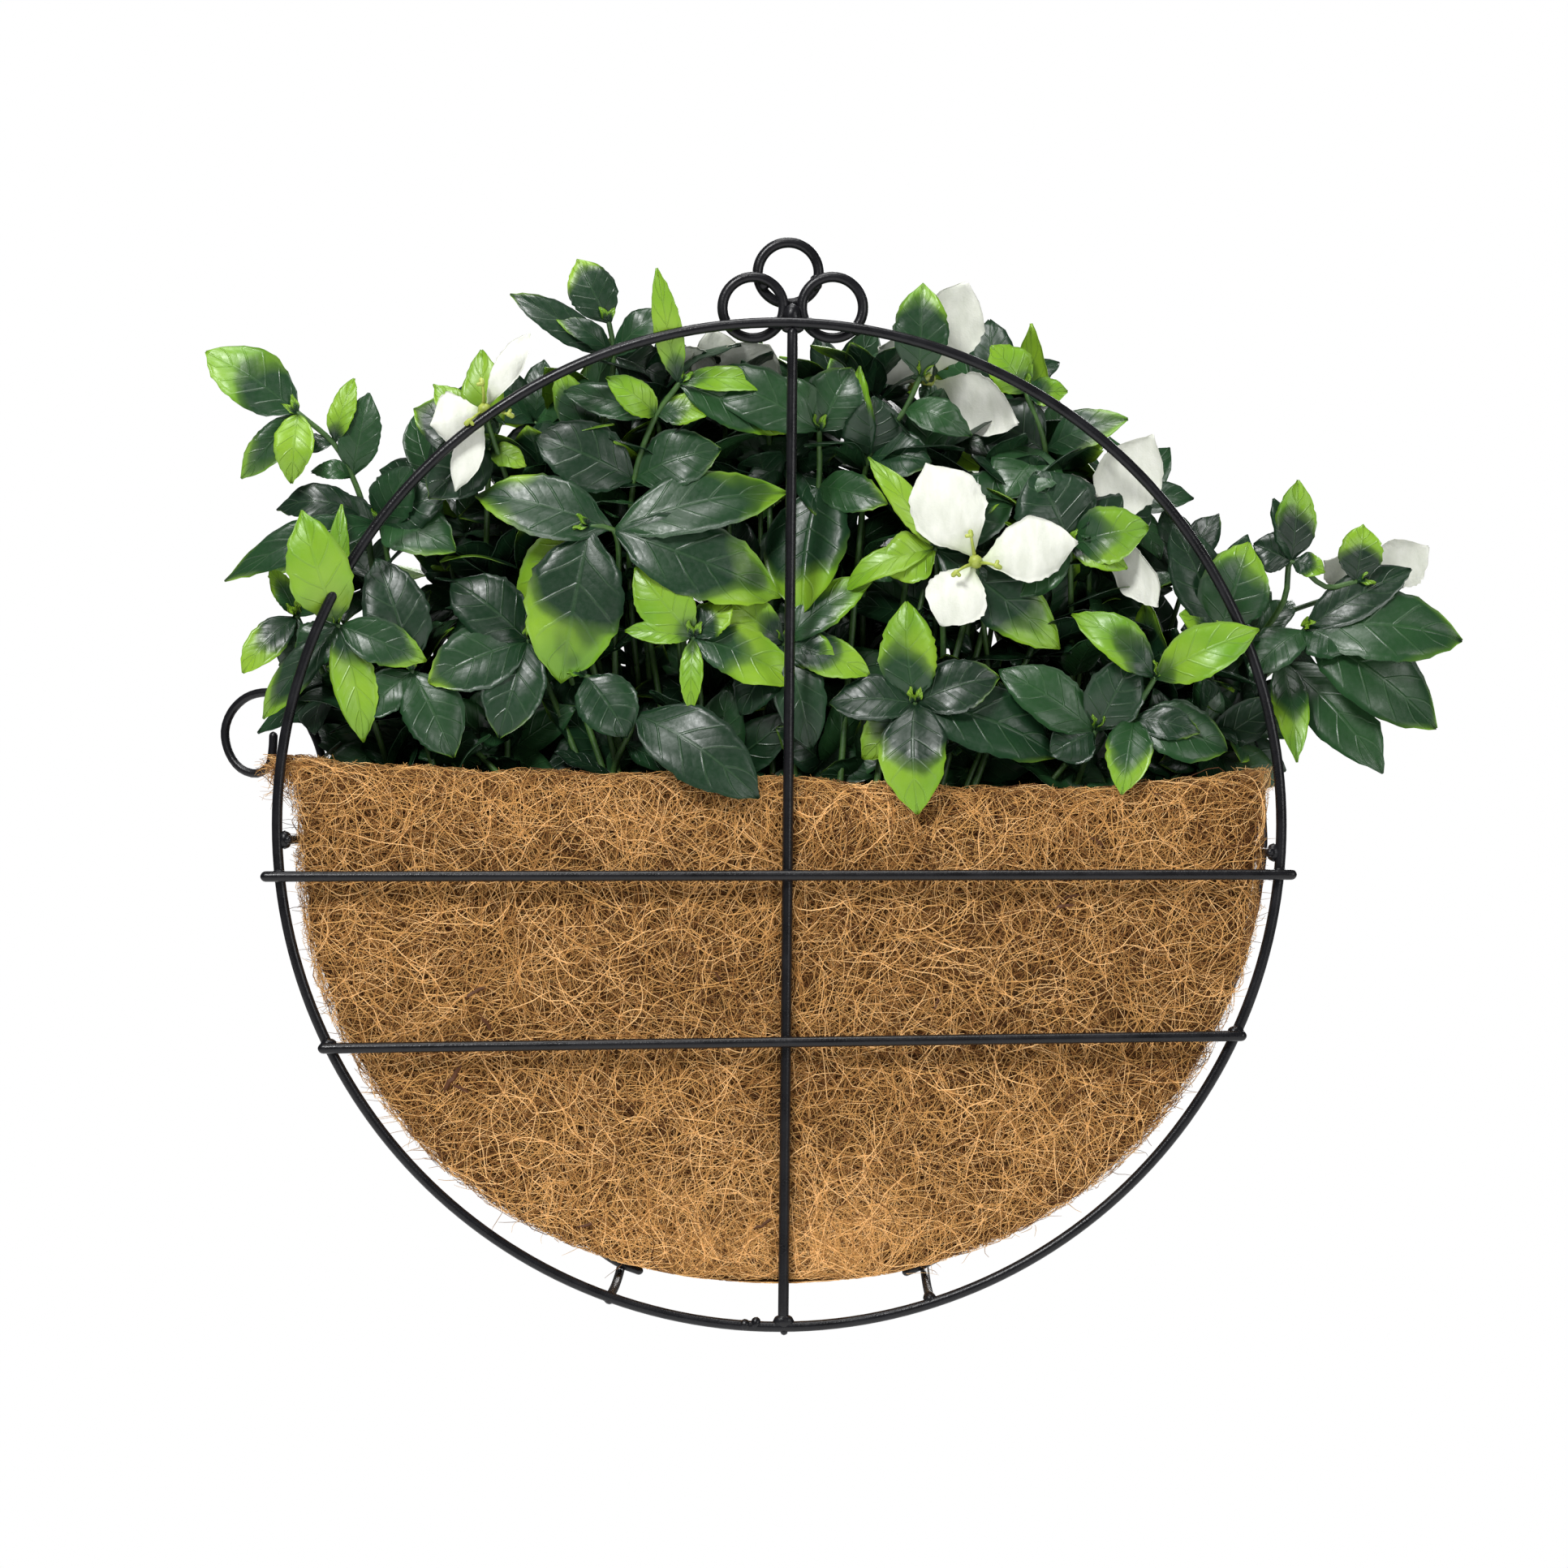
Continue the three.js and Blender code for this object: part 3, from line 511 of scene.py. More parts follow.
def side_rib_path(side, hoop_angle, turn, tip, crossing, scroll, drop):
    """From the tip under the liner, up its side at a clearance and to the hoop, then the scroll."""
    path = [at(*tip), at(*crossing)]
    for share, clearance in ((0.88, 9), (0.76, 6), (0.6, 4.5), (0.42, 4.2), (0.22, 4.8)):
        angle = math.radians(hoop_angle + turn * share**3)
        up = height_at(share)
        width, depth = bowl_reach(up, -clearance)
        path.append(at(side * width * math.cos(angle), depth * math.sin(angle), up))
    angle = math.radians(hoop_angle)
    foot = hoop_point(angle if side < 0 else math.pi - angle, RIB_OUTSIDE_HOOP + 0.2)
    return path + [foot, *scroll_points(foot, *scroll, drop)]


EYE_R = 12.1
EYES = {
    "left_base_eye": (-10.3, LAYER, 204.4),
    "right_base_eye": (21.1, LAYER, 204.4),
    "hanging_eye": (3.6, 2 * LAYER, 218.6),
}  # right, forward, up of their middles
BARS = {
    "centre_bar": ((1.6, 0, -RING_R + 2), (5.3, 0, RING_R - 2)),
    "upper_cross_bar": ((203.5, -LAYER, -19.6), (-204, -LAYER, -20.4)),
    "lower_cross_bar": ((183.8, -LAYER, -83), (-181.4, -LAYER, -88)),
}
# Right at the hoop, height of the weld, and how far sideways the rib leans on its way there.
FRONT_RIBS = {"left_front_rib": (-62, -186.6, -5), "right_front_rib": (60, -187, -0.5)}
# Side, degrees round the hoop, how far that turns on the way down, tip, crossing, scroll's way and drop.
SIDE_RIBS = {
    "left_side_rib": (-1, 20, 10, (-57.5, 60, -183), (-66.5, 60, -179.4), (-0.94, 0.34), 0),
    "right_side_rib": (1, 10, 21, (52, 60, -183.5), (60.5, 60, -179.8), (-0.2, 0.98), 9),
}


def build_wires():
    wire_piece("main_ring", circle(RING_CENTRE, RING_R, 220), WIRE_R, closed=True)
    for name, centre in EYES.items():
        wire_piece(name, circle(at(*centre), EYE_R, 56), WIRE_R, closed=True)
    for name, (start, end) in BARS.items():
        wire_piece(name, straight(at(*start), at(*end), WIRE_R), WIRE_R)
    hoop = [at(-HOOP["half_width"], HOOP["end_forward"], HOOP["up"] + HOOP["lean"])]
    hoop += [hoop_point(angle) for angle in np.linspace(0, math.pi, 25)]
    hoop.append(at(HOOP["half_width"], HOOP["end_forward"], HOOP["up"] - HOOP["lean"]))
    wire_piece("front_hoop", smooth_path(hoop, 4), LIGHT_WIRE_R)
    for name, rib in FRONT_RIBS.items():
        wire_piece(name, smooth_path(front_rib_path(*rib), 3), LIGHT_WIRE_R)
    for name, rib in SIDE_RIBS.items():
        wire_piece(name, smooth_path(side_rib_path(*rib), 3), LIGHT_WIRE_R)


def ring_point(right, sign):
    return math.copysign(math.sqrt(RING_R**2 - right**2), sign)


def bead(pile, centre, along, length, radius, seed):
    """A weld bead: a lumpy drop, longer along one direction."""
    rows, sides = 9, 12
    along = unit(np.asarray(along, float))
    side = unit(np.cross(along, WALLWARD + 0.3 * UPWARD))
    upright = np.cross(along, side)
    points = []
    for s in np.linspace(-1, 1, rows + 2)[1:-1]:
        for t in np.linspace(0, 2 * math.pi, sides, endpoint=False):
            spot = side * math.cos(t) + upright * math.sin(t)
            lump = 1 + 0.16 * noise.noise(Vector(spot * 1.3) + Vector((s * 2, seed * 7.3, 0)))
            points.append(centre + along * s * length / 2 + spot * radius * math.sqrt(1 - s * s) * lump)
    points += [centre - along * length / 2, centre + along * length / 2]
    pile.add(points, [grid_faces(rows, sides, True), end_fans(rows, sides)])


def welds():
    """Each weld's middle in the row frame, the direction it runs along, its length and its radius."""
    sideways, upwards = (1, 0, 0), (0, 0, 1)
    for start, end in (BARS["upper_cross_bar"], BARS["lower_cross_bar"]):
        yield at(3.2, -LAYER / 2, (start[2] + end[2]) / 2), sideways, 6.5, 2.6
        for tip in (start, end):
            right = math.copysign(ring_point(tip[2], 1), tip[0])
            yield at(right, -LAYER / 2, tip[2] * 0.985), sideways, 7, 2.6
    yield at(1.7, 0, -RING_R + 2.2), sideways, 8.5, 2.9
    yield at(1.9, 0, -RING_R - 1.6), upwards, 3.6, 1.5
    yield at(-9.3, -0.6, -RING_R + 1.4), (0.3, 0, 1), 5.4, 2.0
    yield at(-13.5, -0.4, -RING_R + 0.8), sideways, 4.5, 2.3
    yield at(5.2, LAYER / 2, RING_R + 2.8), upwards, 10, 3.4
    yield at(5.4, LAYER / 2, RING_R - 1.5), sideways, 10, 2.8
    for right in (-19.5, -1.2, 11.8, 30.5):
        yield at(right, LAYER / 2, ring_point(right, 1)), sideways, 6, 2.5
    for right in (-6.2, 14.6):
        yield at(right, 1.5 * LAYER, 214.5), upwards, 7, 2.5
    yield at(-RING_R + 3, 0.5, HOOP["up"] + HOOP["lean"]), upwards, 7.5, 2.7
    yield at(RING_R - 3, 0.5, HOOP["up"] - HOOP["lean"]), upwards, 7.5, 2.7
    for right, up, lean in FRONT_RIBS.values():
        yield at(right + lean, WIRE_R * 0.6, up), (0, 1, 0.2), 6.5, 2.7
    for side, degrees, *_rest in SIDE_RIBS.values():
        angle = math.radians(degrees) if side < 0 else math.pi - math.radians(degrees)
        yield hoop_point(angle, RIB_OUTSIDE_HOOP / 2), upwards, 5.5, 2.3
    for right, _up, _lean in FRONT_RIBS.values():
        yield hoop_point(math.acos(-right / HOOP["half_width"]), RIB_OUTSIDE_HOOP / 2), upwards, 5.5, 2.3


def build_welds():
    pile = Pile()
    for seed, (centre, (right, forward, up), length, radius) in enumerate(welds()):
        bead(pile, centre, (-right, -forward, up), length, radius, seed)
    pile.make("weld_beads", CAGE, [POWDER])


build_wires()
build_welds()

# ---- the coir liner ----

FELT_DEPTH = 2.6  # the loose fibres fill this much over the felt, up to the liner's true surface
CURVE_SHARES = np.sin(np.linspace(0, math.pi / 2, 90)) ** (2 / LINER["depth_power"])


def curve_lengths():
    """The lengths of the bowl's front curve from the rim down to each of the curve's shares of the height."""
    depth = LINER["depth"] * shrunk(CURVE_SHARES, LINER["depth_power"])
    drop = LINER["height"] * CURVE_SHARES
    return np.concatenate([[0], np.cumsum(np.hypot(np.diff(depth), np.diff(drop)))])


CURVE_LENGTHS = curve_lengths()


def rim_up(right):
    """Height of the rim, which dips and rises along the liner."""
    right = np.asarray(right, float)
    lumps = 0.8 * np.sin(right * 0.13 + 1.0) + 0.5 * np.sin(right * 0.31 + 2.0)
    return np.interp(right, *zip(*RIM)) + lumps


def bowl_point(angle, up, inset):
    """A point of the bowl's outside: plan angle from the left end, height, and depth under the surface."""
    width, depth = bowl_reach(up, inset)
    return at(-width * np.cos(angle), np.maximum(depth * np.sin(angle), LINER["back"] + 0.5 * inset), up)


def back_half_width(up):
    return bowl_reach(up)[0]


def liner_section(up, inset, back, arc_count, back_count):
    """One closed section of the liner: round the bowl, then straight across the back."""
    width, depth = (float(reach) for reach in bowl_reach(up, inset))
    first = math.asin(min(0.9, back / depth))
    angles = np.linspace(first, math.pi - first, arc_count)
    across = width * math.cos(first) * np.linspace(1, -1, back_count + 2)[1:-1]
    right = np.concatenate([-width * np.cos(angles), across])
    forward = np.concatenate([depth * np.sin(angles), np.full(back_count, back)])
    return right, forward


def build_liner_shell():
    """The felt: outside up to the rim, over it, and down the inside to a floor."""
    arc, across = 120, 72
    ring = arc + across
    low, rim, wall = LINER["zero_up"], LINER["rim_up"], LINER["wall"]
    upright = [low + (rim - low - 1.5) * rise for rise in np.linspace(0, 1, 8)[1:]]
    levels = [(height_at(share), FELT_DEPTH) for share in np.linspace(0.985, 0, 40)]
    levels += [(up, FELT_DEPTH) for up in upright]
    levels += [(rim, FELT_DEPTH + 1.5), (rim + 0.3, wall / 2 + 0.5), (rim, wall - 1)]
    levels += [(up, wall) for up in upright[::-1]]
    levels += [(height_at(share), wall) for share in np.linspace(0, 0.9, 24)]
    points = []
    for up, depth in levels:
        right, forward = liner_section(up, depth, LINER["back"] + depth, arc, across)
        heights = up + smoothstep(-5, rim, up) * (rim_up(right) - rim)
        points.append(at(right, forward, heights))
    points = np.array(points)
    shaken = []
    for row, centre in zip(points, points.mean(axis=1)):
        for point in row:
            lump = noise.noise(Vector(point * 0.045)) * 0.9 + noise.noise(Vector(point * 0.16)) * 0.45
            outward = unit((point - centre) * np.array([1, 1, 0.2]))
            shaken.append(point - outward * max(0.0, 0.55 + lump))
    faces = [grid_faces(len(levels), ring, True)[:, ::-1], end_fans(len(levels), ring, inwards=True)]
    pile = Pile()
    pile.add(np.vstack([shaken, points[0].mean(0), points[-1].mean(0)]), faces)
    pile.make("liner_felt", PLANTING, [FELT], ["coir_liner"])


def curled_lines(random, count, steps, length_range, spread=0.045):
    """Flat random curves as (count, steps, 2) offsets from their middles, each with its own bend."""
    length = random.uniform(*length_range, count) * random.uniform(0.6, 1, count)
    bend = random.normal(0, spread, (count, 1)) + random.normal(0, spread * 1.6, (count, steps))
    stride = (length / (steps - 1))[:, None]
    heading = random.uniform(0, 2 * math.pi, (count, 1)) + np.cumsum(bend * stride, axis=1)
    steps_taken = np.stack([np.cos(heading), np.sin(heading)], -1) * stride[..., None]
    walked = np.cumsum(steps_taken, axis=1)
    return walked - walked.mean(1, keepdims=True)


COARSE_SHARE = 0.16


def fibre_radii(random, count):
    """Mostly fine fibres, and some coarse ones."""
    coarse = random.uniform(size=count) < COARSE_SHARE
    return np.where(coarse, random.uniform(0.2, 0.3, count), random.uniform(0.11, 0.18, count))


def patches(across, up):
    """Slow hollows and rises over the felt, from -1 to 1. The back's fibres sink into the hollows, and fibres
    there get darker tones as painted shade, those on the rises paler ones as painted light.
    """
    bent = np.sin(across * 0.041 + 1.7 * np.sin(up * 0.053 + 0.4))
    bent = bent * np.sin(up * 0.067 + 1.3 * np.sin(across * 0.029))
    return 0.6 * bent + 0.4 * np.sin(across * 0.19 + up * 0.05) * np.sin(up * 0.17 - across * 0.07)


def make_fibres(name, paths, normals, radii, random, height):
    """Closed three-sided fibres along paths (count, steps, 3), with thin ends; the higher they lie the paler
    their tones, as painted light, and the deeper the darker, as painted shade.
    """
    count, steps, _ = paths.shape
    tangents = unit(np.gradient(paths, axis=1))
    side = unit(np.cross(tangents, normals))
    upright = np.cross(side, tangents)
    taper = 0.45 + 0.55 * np.sin(np.linspace(0.12, math.pi - 0.12, steps))
    turn = np.array([0.5, 7 / 6, 11 / 6]) * math.pi
    offsets = side[:, :, None] * np.cos(turn)[:, None] + upright[:, :, None] * np.sin(turn)[:, None]
    points = paths[:, :, None] + offsets * (radii[:, None] * taper)[:, :, None, None]
    quads = grid_faces(steps, 3, True)
    ends = np.array([[0, 2, 1], [steps * 3 - 3, steps * 3 - 2, steps * 3 - 1]])
    starts = np.arange(count) * steps * 3
    # Higher fibres draw more often from the paler tones, as painted light; the rest take the darker deep
    # tones, as painted shade.
    light = random.uniform(size=count) < np.clip(height, 0, 1)
    shaded_deep = random.choice(len(FIBRES), count, p=SHADED_DEEP_SHARES)
    colours = np.where(light, random.choice(len(FIBRES), count, p=LIT_TOP_SHARES), shaded_deep)
    pile = Pile()
    pile.add(
        points,
        [(quads + starts[:, None, None]).reshape(-1, 4), (ends + starts[:, None, None]).reshape(-1, 3)],
        [np.repeat(colours, len(quads)), np.repeat(colours, 2)],
    )
    pile.make(name, PLANTING, FIBRES, smooth=False)


FIBRE_STEPS = 10
LOWEST_UP = height_at(0.985)


def moved_inside(random, excess, slack=1.6):
    """How far each fibre has to move to end inside a limit, give or take about a millimetre."""
    return np.maximum(excess.max(1) - random.uniform(-1, slack, len(excess)), 0)[:, None]


def back_fibres(name, seed, count, layer):
    """Loose fibres over the flat back, each moved whole until it lies inside the outline."""
    random = np.random.default_rng(seed)
    up = random.uniform(height_at(1), RIM[0][1] + 2, count)
    right = random.uniform(-1, 1, count) * np.minimum(back_half_width(up), LINER["half_width"])
    curl = curled_lines(random, count, FIBRE_STEPS, (16, 62))
    rights = right[:, None] + curl[..., 0]
    ups = up[:, None] + curl[..., 1]
    ups -= moved_inside(random, ups - rim_up(rights))
    ups += moved_inside(random, LOWEST_UP - ups, 1.5)
    rights -= np.sign(right)[:, None] * moved_inside(random, np.abs(rights) - back_half_width(ups))
    base = random.uniform(layer * FELT_DEPTH, (layer + 0.3) * FELT_DEPTH, (count, 1))
    swing = 0.4 * np.sin(np.linspace(0, 5, FIBRE_STEPS)[None] + random.uniform(0, 6.3, (count, 1)))
    hollow = 0.7 * np.minimum(patches(rights, ups), 0)
    forwards = LINER["back"] + FELT_DEPTH - np.clip(base + swing, -0.3, FELT_DEPTH - 0.1) - hollow
    # Paler tones for the higher layers and the patches' rises, darker for the deep layers and the hollows:
    # painted light and shade.
    paler = layer + 0.3 * patches(right, up)
    make_fibres(name, at(rights, forwards, ups), WALLWARD, fibre_radii(random, count), random, paler)


def bowl_fibres(name, seed, count, layer, inside=False):
    """Loose fibres over the bowl's outside, or over its inside above the foam."""
    random = np.random.default_rng(seed)
    arc = math.pi * LINER["half_width"]
    first, last = (-24, 20) if inside else (-28, CURVE_LENGTHS[-1] - 8)
    down = random.uniform(first, last, count)
    along = random.uniform(0.02, 0.98, count) * arc
    curl = curled_lines(random, count, FIBRE_STEPS, (20, 78))
    angle = np.clip((along[:, None] + curl[..., 0]) / arc, 0.004, 0.996) * math.pi
    highest = LINER["zero_up"] - rim_up(-LINER["half_width"] * np.cos(angle))
    downs = down[:, None] + curl[..., 1]
    downs += moved_inside(random, highest - downs)
    share = np.interp(downs, CURVE_LENGTHS, CURVE_SHARES)
    ups = np.where(downs > 0, height_at(share), LINER["zero_up"] - downs)
    height = random.uniform(layer * FELT_DEPTH, (layer + 0.3) * FELT_DEPTH, (count, 1))
    height = height + 0.3 * np.sin(np.linspace(0, 5, FIBRE_STEPS))[None]
    inset = LINER["wall"] + 0.2 + height * 0.4 if inside else FELT_DEPTH - height
    outward = unit(np.stack([np.cos(angle), -np.sin(angle), np.zeros_like(angle)], -1))
    # Paler tones for the higher layers and the patches' rises, darker for the deep layers and the hollows:
    # painted light and shade.
    paler = layer + 0.3 * patches(along, down)
    make_fibres(name, bowl_point(angle, ups, inset), outward, fibre_radii(random, count), random, paler)


CORNER_TUFT = {"right": -196, "share": 0.1}
BOWL_CURLS_FROM = 0.55  # of the rim's curls, those drawn above this stand round the bowl's edge


def rim_fibres(name, seed, count):
    """Curls that round the rim off: along the back's edge, round the bowl's, and in a tuft at one corner."""
    random = np.random.default_rng(seed)
    curl = curled_lines(random, count, FIBRE_STEPS, (9, 30), 0.09)
    place = random.uniform(size=count)
    tuft = place < CORNER_TUFT["share"]
    bowl = place > BOWL_CURLS_FROM
    right = random.uniform(-1, 1, count) * LINER["half_width"]
    right = np.where(tuft, CORNER_TUFT["right"] + random.uniform(-5, 14, count), right)
    angle = random.uniform(0.02, 0.98, count) * math.pi
    tilt = random.uniform(-1, 1, count)[:, None]
    across = curl[..., 1] * np.sin(tilt)
    rise = curl[..., 1] * np.cos(tilt)
    depth = random.uniform(0.2, LINER["wall"] - 0.5, count)[:, None]
    rights = right[:, None] + curl[..., 0]
    forwards = LINER["back"] + np.maximum(depth + across, 0.1)
    angles = angle[:, None] + curl[..., 0] / LINER["half_width"]
    heights = np.where(bowl[:, None], rim_up(-LINER["half_width"] * np.cos(angles)), rim_up(rights))
    top = (heights + random.uniform(-3.5, 1.8, count)[:, None]).min(1, keepdims=True)
    ups = top - rise.max(1, keepdims=True) + rise
    on_bowl = bowl_point(angles, ups, depth + across)
    paths = np.where(bowl[:, None, None], on_bowl, at(rights, forwards, ups))
    # The curls lie on top, so with 0.75 most draw the paler tones of painted light.
    make_fibres(name, paths, unit(WALLWARD + 0.3), fibre_radii(random, count), random, 0.75)


def stray_fibres(name, seed, count, steps=8):
    """Fuzz that leaves the outline: along the rim, round the back's edge and off the bowl."""
    random = np.random.default_rng(seed)
    kinds = random.choice(3, count, p=[0.45, 0.3, 0.25])
    on_rim, on_bowl = kinds == 0, kinds == 2
    curl = curled_lines(random, count, steps, (9, 28), 0.08)
    up = random.uniform(height_at(0.97), LINER["rim_up"], count)
    side = random.choice([-1, 1], count)
    slope = (back_half_width(up + 1) - back_half_width(up - 1)) / 2
    rim_right = random.uniform(-0.98, 0.98, count) * LINER["half_width"]
    start_right = np.where(on_rim, rim_right, side * (back_half_width(up) - 5))
    start_up = np.where(on_rim, rim_up(start_right) - 5, up)
    lift = np.where(on_rim, 0.75, 0.35)[:, None]
    share = np.linspace(0, 1, steps)[None]
    away_right = np.where(on_rim, 0, side)[:, None]
    away_up = np.where(on_rim, 1, -slope)[:, None]
    reach = random.uniform(1, 6.5, count)[:, None]
    reach = reach * np.where(random.uniform(size=count) < 0.08, 2, 1)[:, None]
    rights = start_right[:, None] + curl[..., 0] * (1 - lift) + away_right * (5 + reach * 0.45) * share
    ups = start_up[:, None] + curl[..., 1] * 0.35 + away_up * reach * share * lift
    out_of_back = random.uniform(0, 7, count)[:, None] * share
    forwards = LINER["back"] + 1.2 + np.abs(curl[..., 0] * 0.25) + out_of_back
    angle = random.uniform(0.1, 0.9, count)[:, None] * math.pi + curl[..., 0] / LINER["half_width"]
    bowl_ups = np.clip(up[:, None] + curl[..., 1], LOWEST_UP, LINER["rim_up"])
    off_bowl = bowl_point(angle, bowl_ups, FELT_DEPTH - (reach + 2) * share * 0.5)
    paths = np.where(on_bowl[:, None, None], off_bowl, at(rights, forwards, ups))
    # The fuzz lies on top, so with 0.7 most draw the paler tones of painted light.
    make_fibres(name, paths, unit(WALLWARD + 0.4), random.uniform(0.1, 0.18, count), random, 0.7)


BARK_BITS = [
    (-120, -66, 10, 2.6, 0.6), (-116, -78, 9, 3, 2.3), (-129, -100, 13, 3.4, 0.9), (-126, -104, 8, 2.5, 2.6),
    (113, -32, 8, 2.6, 0.1), (125, -6, 9, 2.2, 2.7), (118, -28, 12, 1.8, 0.2), (62, -71, 8, 1.6, 1.2),
    (-6, -158, 10, 2, 0.4), (-76, -158, 7, 2.2, 0.3), (-24, -60, 6, 1.5, 2.0), (150, 12, 9, 1.6, 2.8),
]  # right, up, length, width, turn of the brown flakes on the back


BARK_TAPER = np.array([0.35, 0.8, 1, 0.9, 1, 0.7, 0.3])


def build_bark():
    pile = Pile()
    random = np.random.default_rng(5)
    for right, up, length, width, turn in BARK_BITS:
        along = np.array([-math.cos(turn), 0, math.sin(turn)])
        centre = at(right, LINER["back"] + 0.5, up)
        path = centre + along * np.linspace(-0.5, 0.5, 7)[:, None] * length
        path += random.normal(0, 0.35, path.shape) * np.array([1, 0.4, 1])
        add_tube(pile, path, width / 2 * BARK_TAPER * 0.7, 5, cap_steps=2)
    pile.make("bark_bits", PLANTING, [FIBRES[5]], smooth=False)


build_liner_shell()
for layer in range(6):
    back_fibres(f"back_fibres_{layer + 1}", 20 + layer, 3000, layer / 5)
for layer in range(4):
    bowl_fibres(f"bowl_fibres_{layer + 1}", 40 + layer, 3100, layer / 3)
bowl_fibres("inner_fibres", 60, 2400, 0.5, inside=True)
rim_fibres("rim_fibres", 80, 3000)
stray_fibres("stray_fibres", 70, 620)
build_bark()

# ---- the foam ----


FOAM_TOP, FOAM_BOTTOM = -14.0, -54.0
FOAM_MIDDLE = 60  # forward of the point that the rings of its top close in on


def build_foam():
    """The foam's crumbly top, shaped like the liner's mouth, with a plain skirt down inside the liner."""
    inset = LINER["wall"] + 1.7
    right, forward = liner_section(FOAM_TOP, inset, LINER["back"] + inset, 64, 32)
    ring = len(right)
    points = []
    for level in (FOAM_BOTTOM, (FOAM_BOTTOM + FOAM_TOP) / 2, FOAM_TOP - 1.5):
        points.append(at(right, forward, np.full(ring, level)))
    for share in np.linspace(0.99, 0.04, 16):
        spots = [Vector((r * 0.11 * share, f * 0.11 * share, 3.0)) for r, f in zip(right, forward)]
        heights = FOAM_TOP - 1.2 + np.array([1.3 * noise.noise(spot) for spot in spots])
        points.append(at(right * share, FOAM_MIDDLE + (forward - FOAM_MIDDLE) * share, heights))
    faces = [grid_faces(len(points), ring, True)[:, ::-1], end_fans(len(points), ring, inwards=True)]
    pile = Pile()
    pile.add(np.vstack([*points, points[0].mean(0), points[-1].mean(0)]), faces)
    pile.make("foam_top", PLANTING, [FOAM], ["foam_block"])


# ---- leaves, petals and stems ----

FACING = unit(np.array([0.0, 0.85, 0.5]))  # the way other leaves are turned
SHOWN = unit(np.array([0.0, 0.95, 0.28]))  # the way the sprays' own leaves are turned
LEAF_THICKNESS = 0.7
TIP_DROOP = 0.06
NO_LIME = -0.6
FULLNESS = 1.08  # a folded, arched leaf is cut this much wider than it looks


def leaf_outline(along):
    """A leaf's share of its full width, along its length from 0 to 1."""
    along = np.clip(along, 0, 1)
    return np.power(np.sin(math.pi * along**0.95), 0.64 + 0.4 * (1 - along) ** 4 + 0.26 * along**8)


def petal_outline(along):
    along = np.clip(along, 0, 1)
    return np.power(np.sin(math.pi * along**1.25), 0.7 + 0.5 * (1 - along) ** 4 + 0.25 * along**8)


RING_GAP = 3.2  # leaves behind the ring stay this far behind its plane, so they pass it when the plants lift
EYES_GAP = 12.5  # and this far where the welded eyes stand above them
EYES_BELOW = (-24, 35, 85)  # right from, right to, up from


def kept_back(points, base, tip, share):
    """The points bent forward until they clear the ring's plane, unless the tip hangs on its wall side."""
    if tip[1] > RING_CENTRE[1]:
        return points
    right, up = RING_CENTRE[0] - (base[0] + tip[0]) / 2, max(base[2], tip[2]) - RING_CENTRE[2]
    low, high, lowest = EYES_BELOW
    under_eyes = low < right < high and up > lowest
    excess = points[..., 1].max() - (RING_CENTRE[1] - (EYES_GAP if under_eyes else RING_GAP))
    if excess > 0:
        points[..., 1] -= excess * smoothstep(0, 0.5, share)
    return points


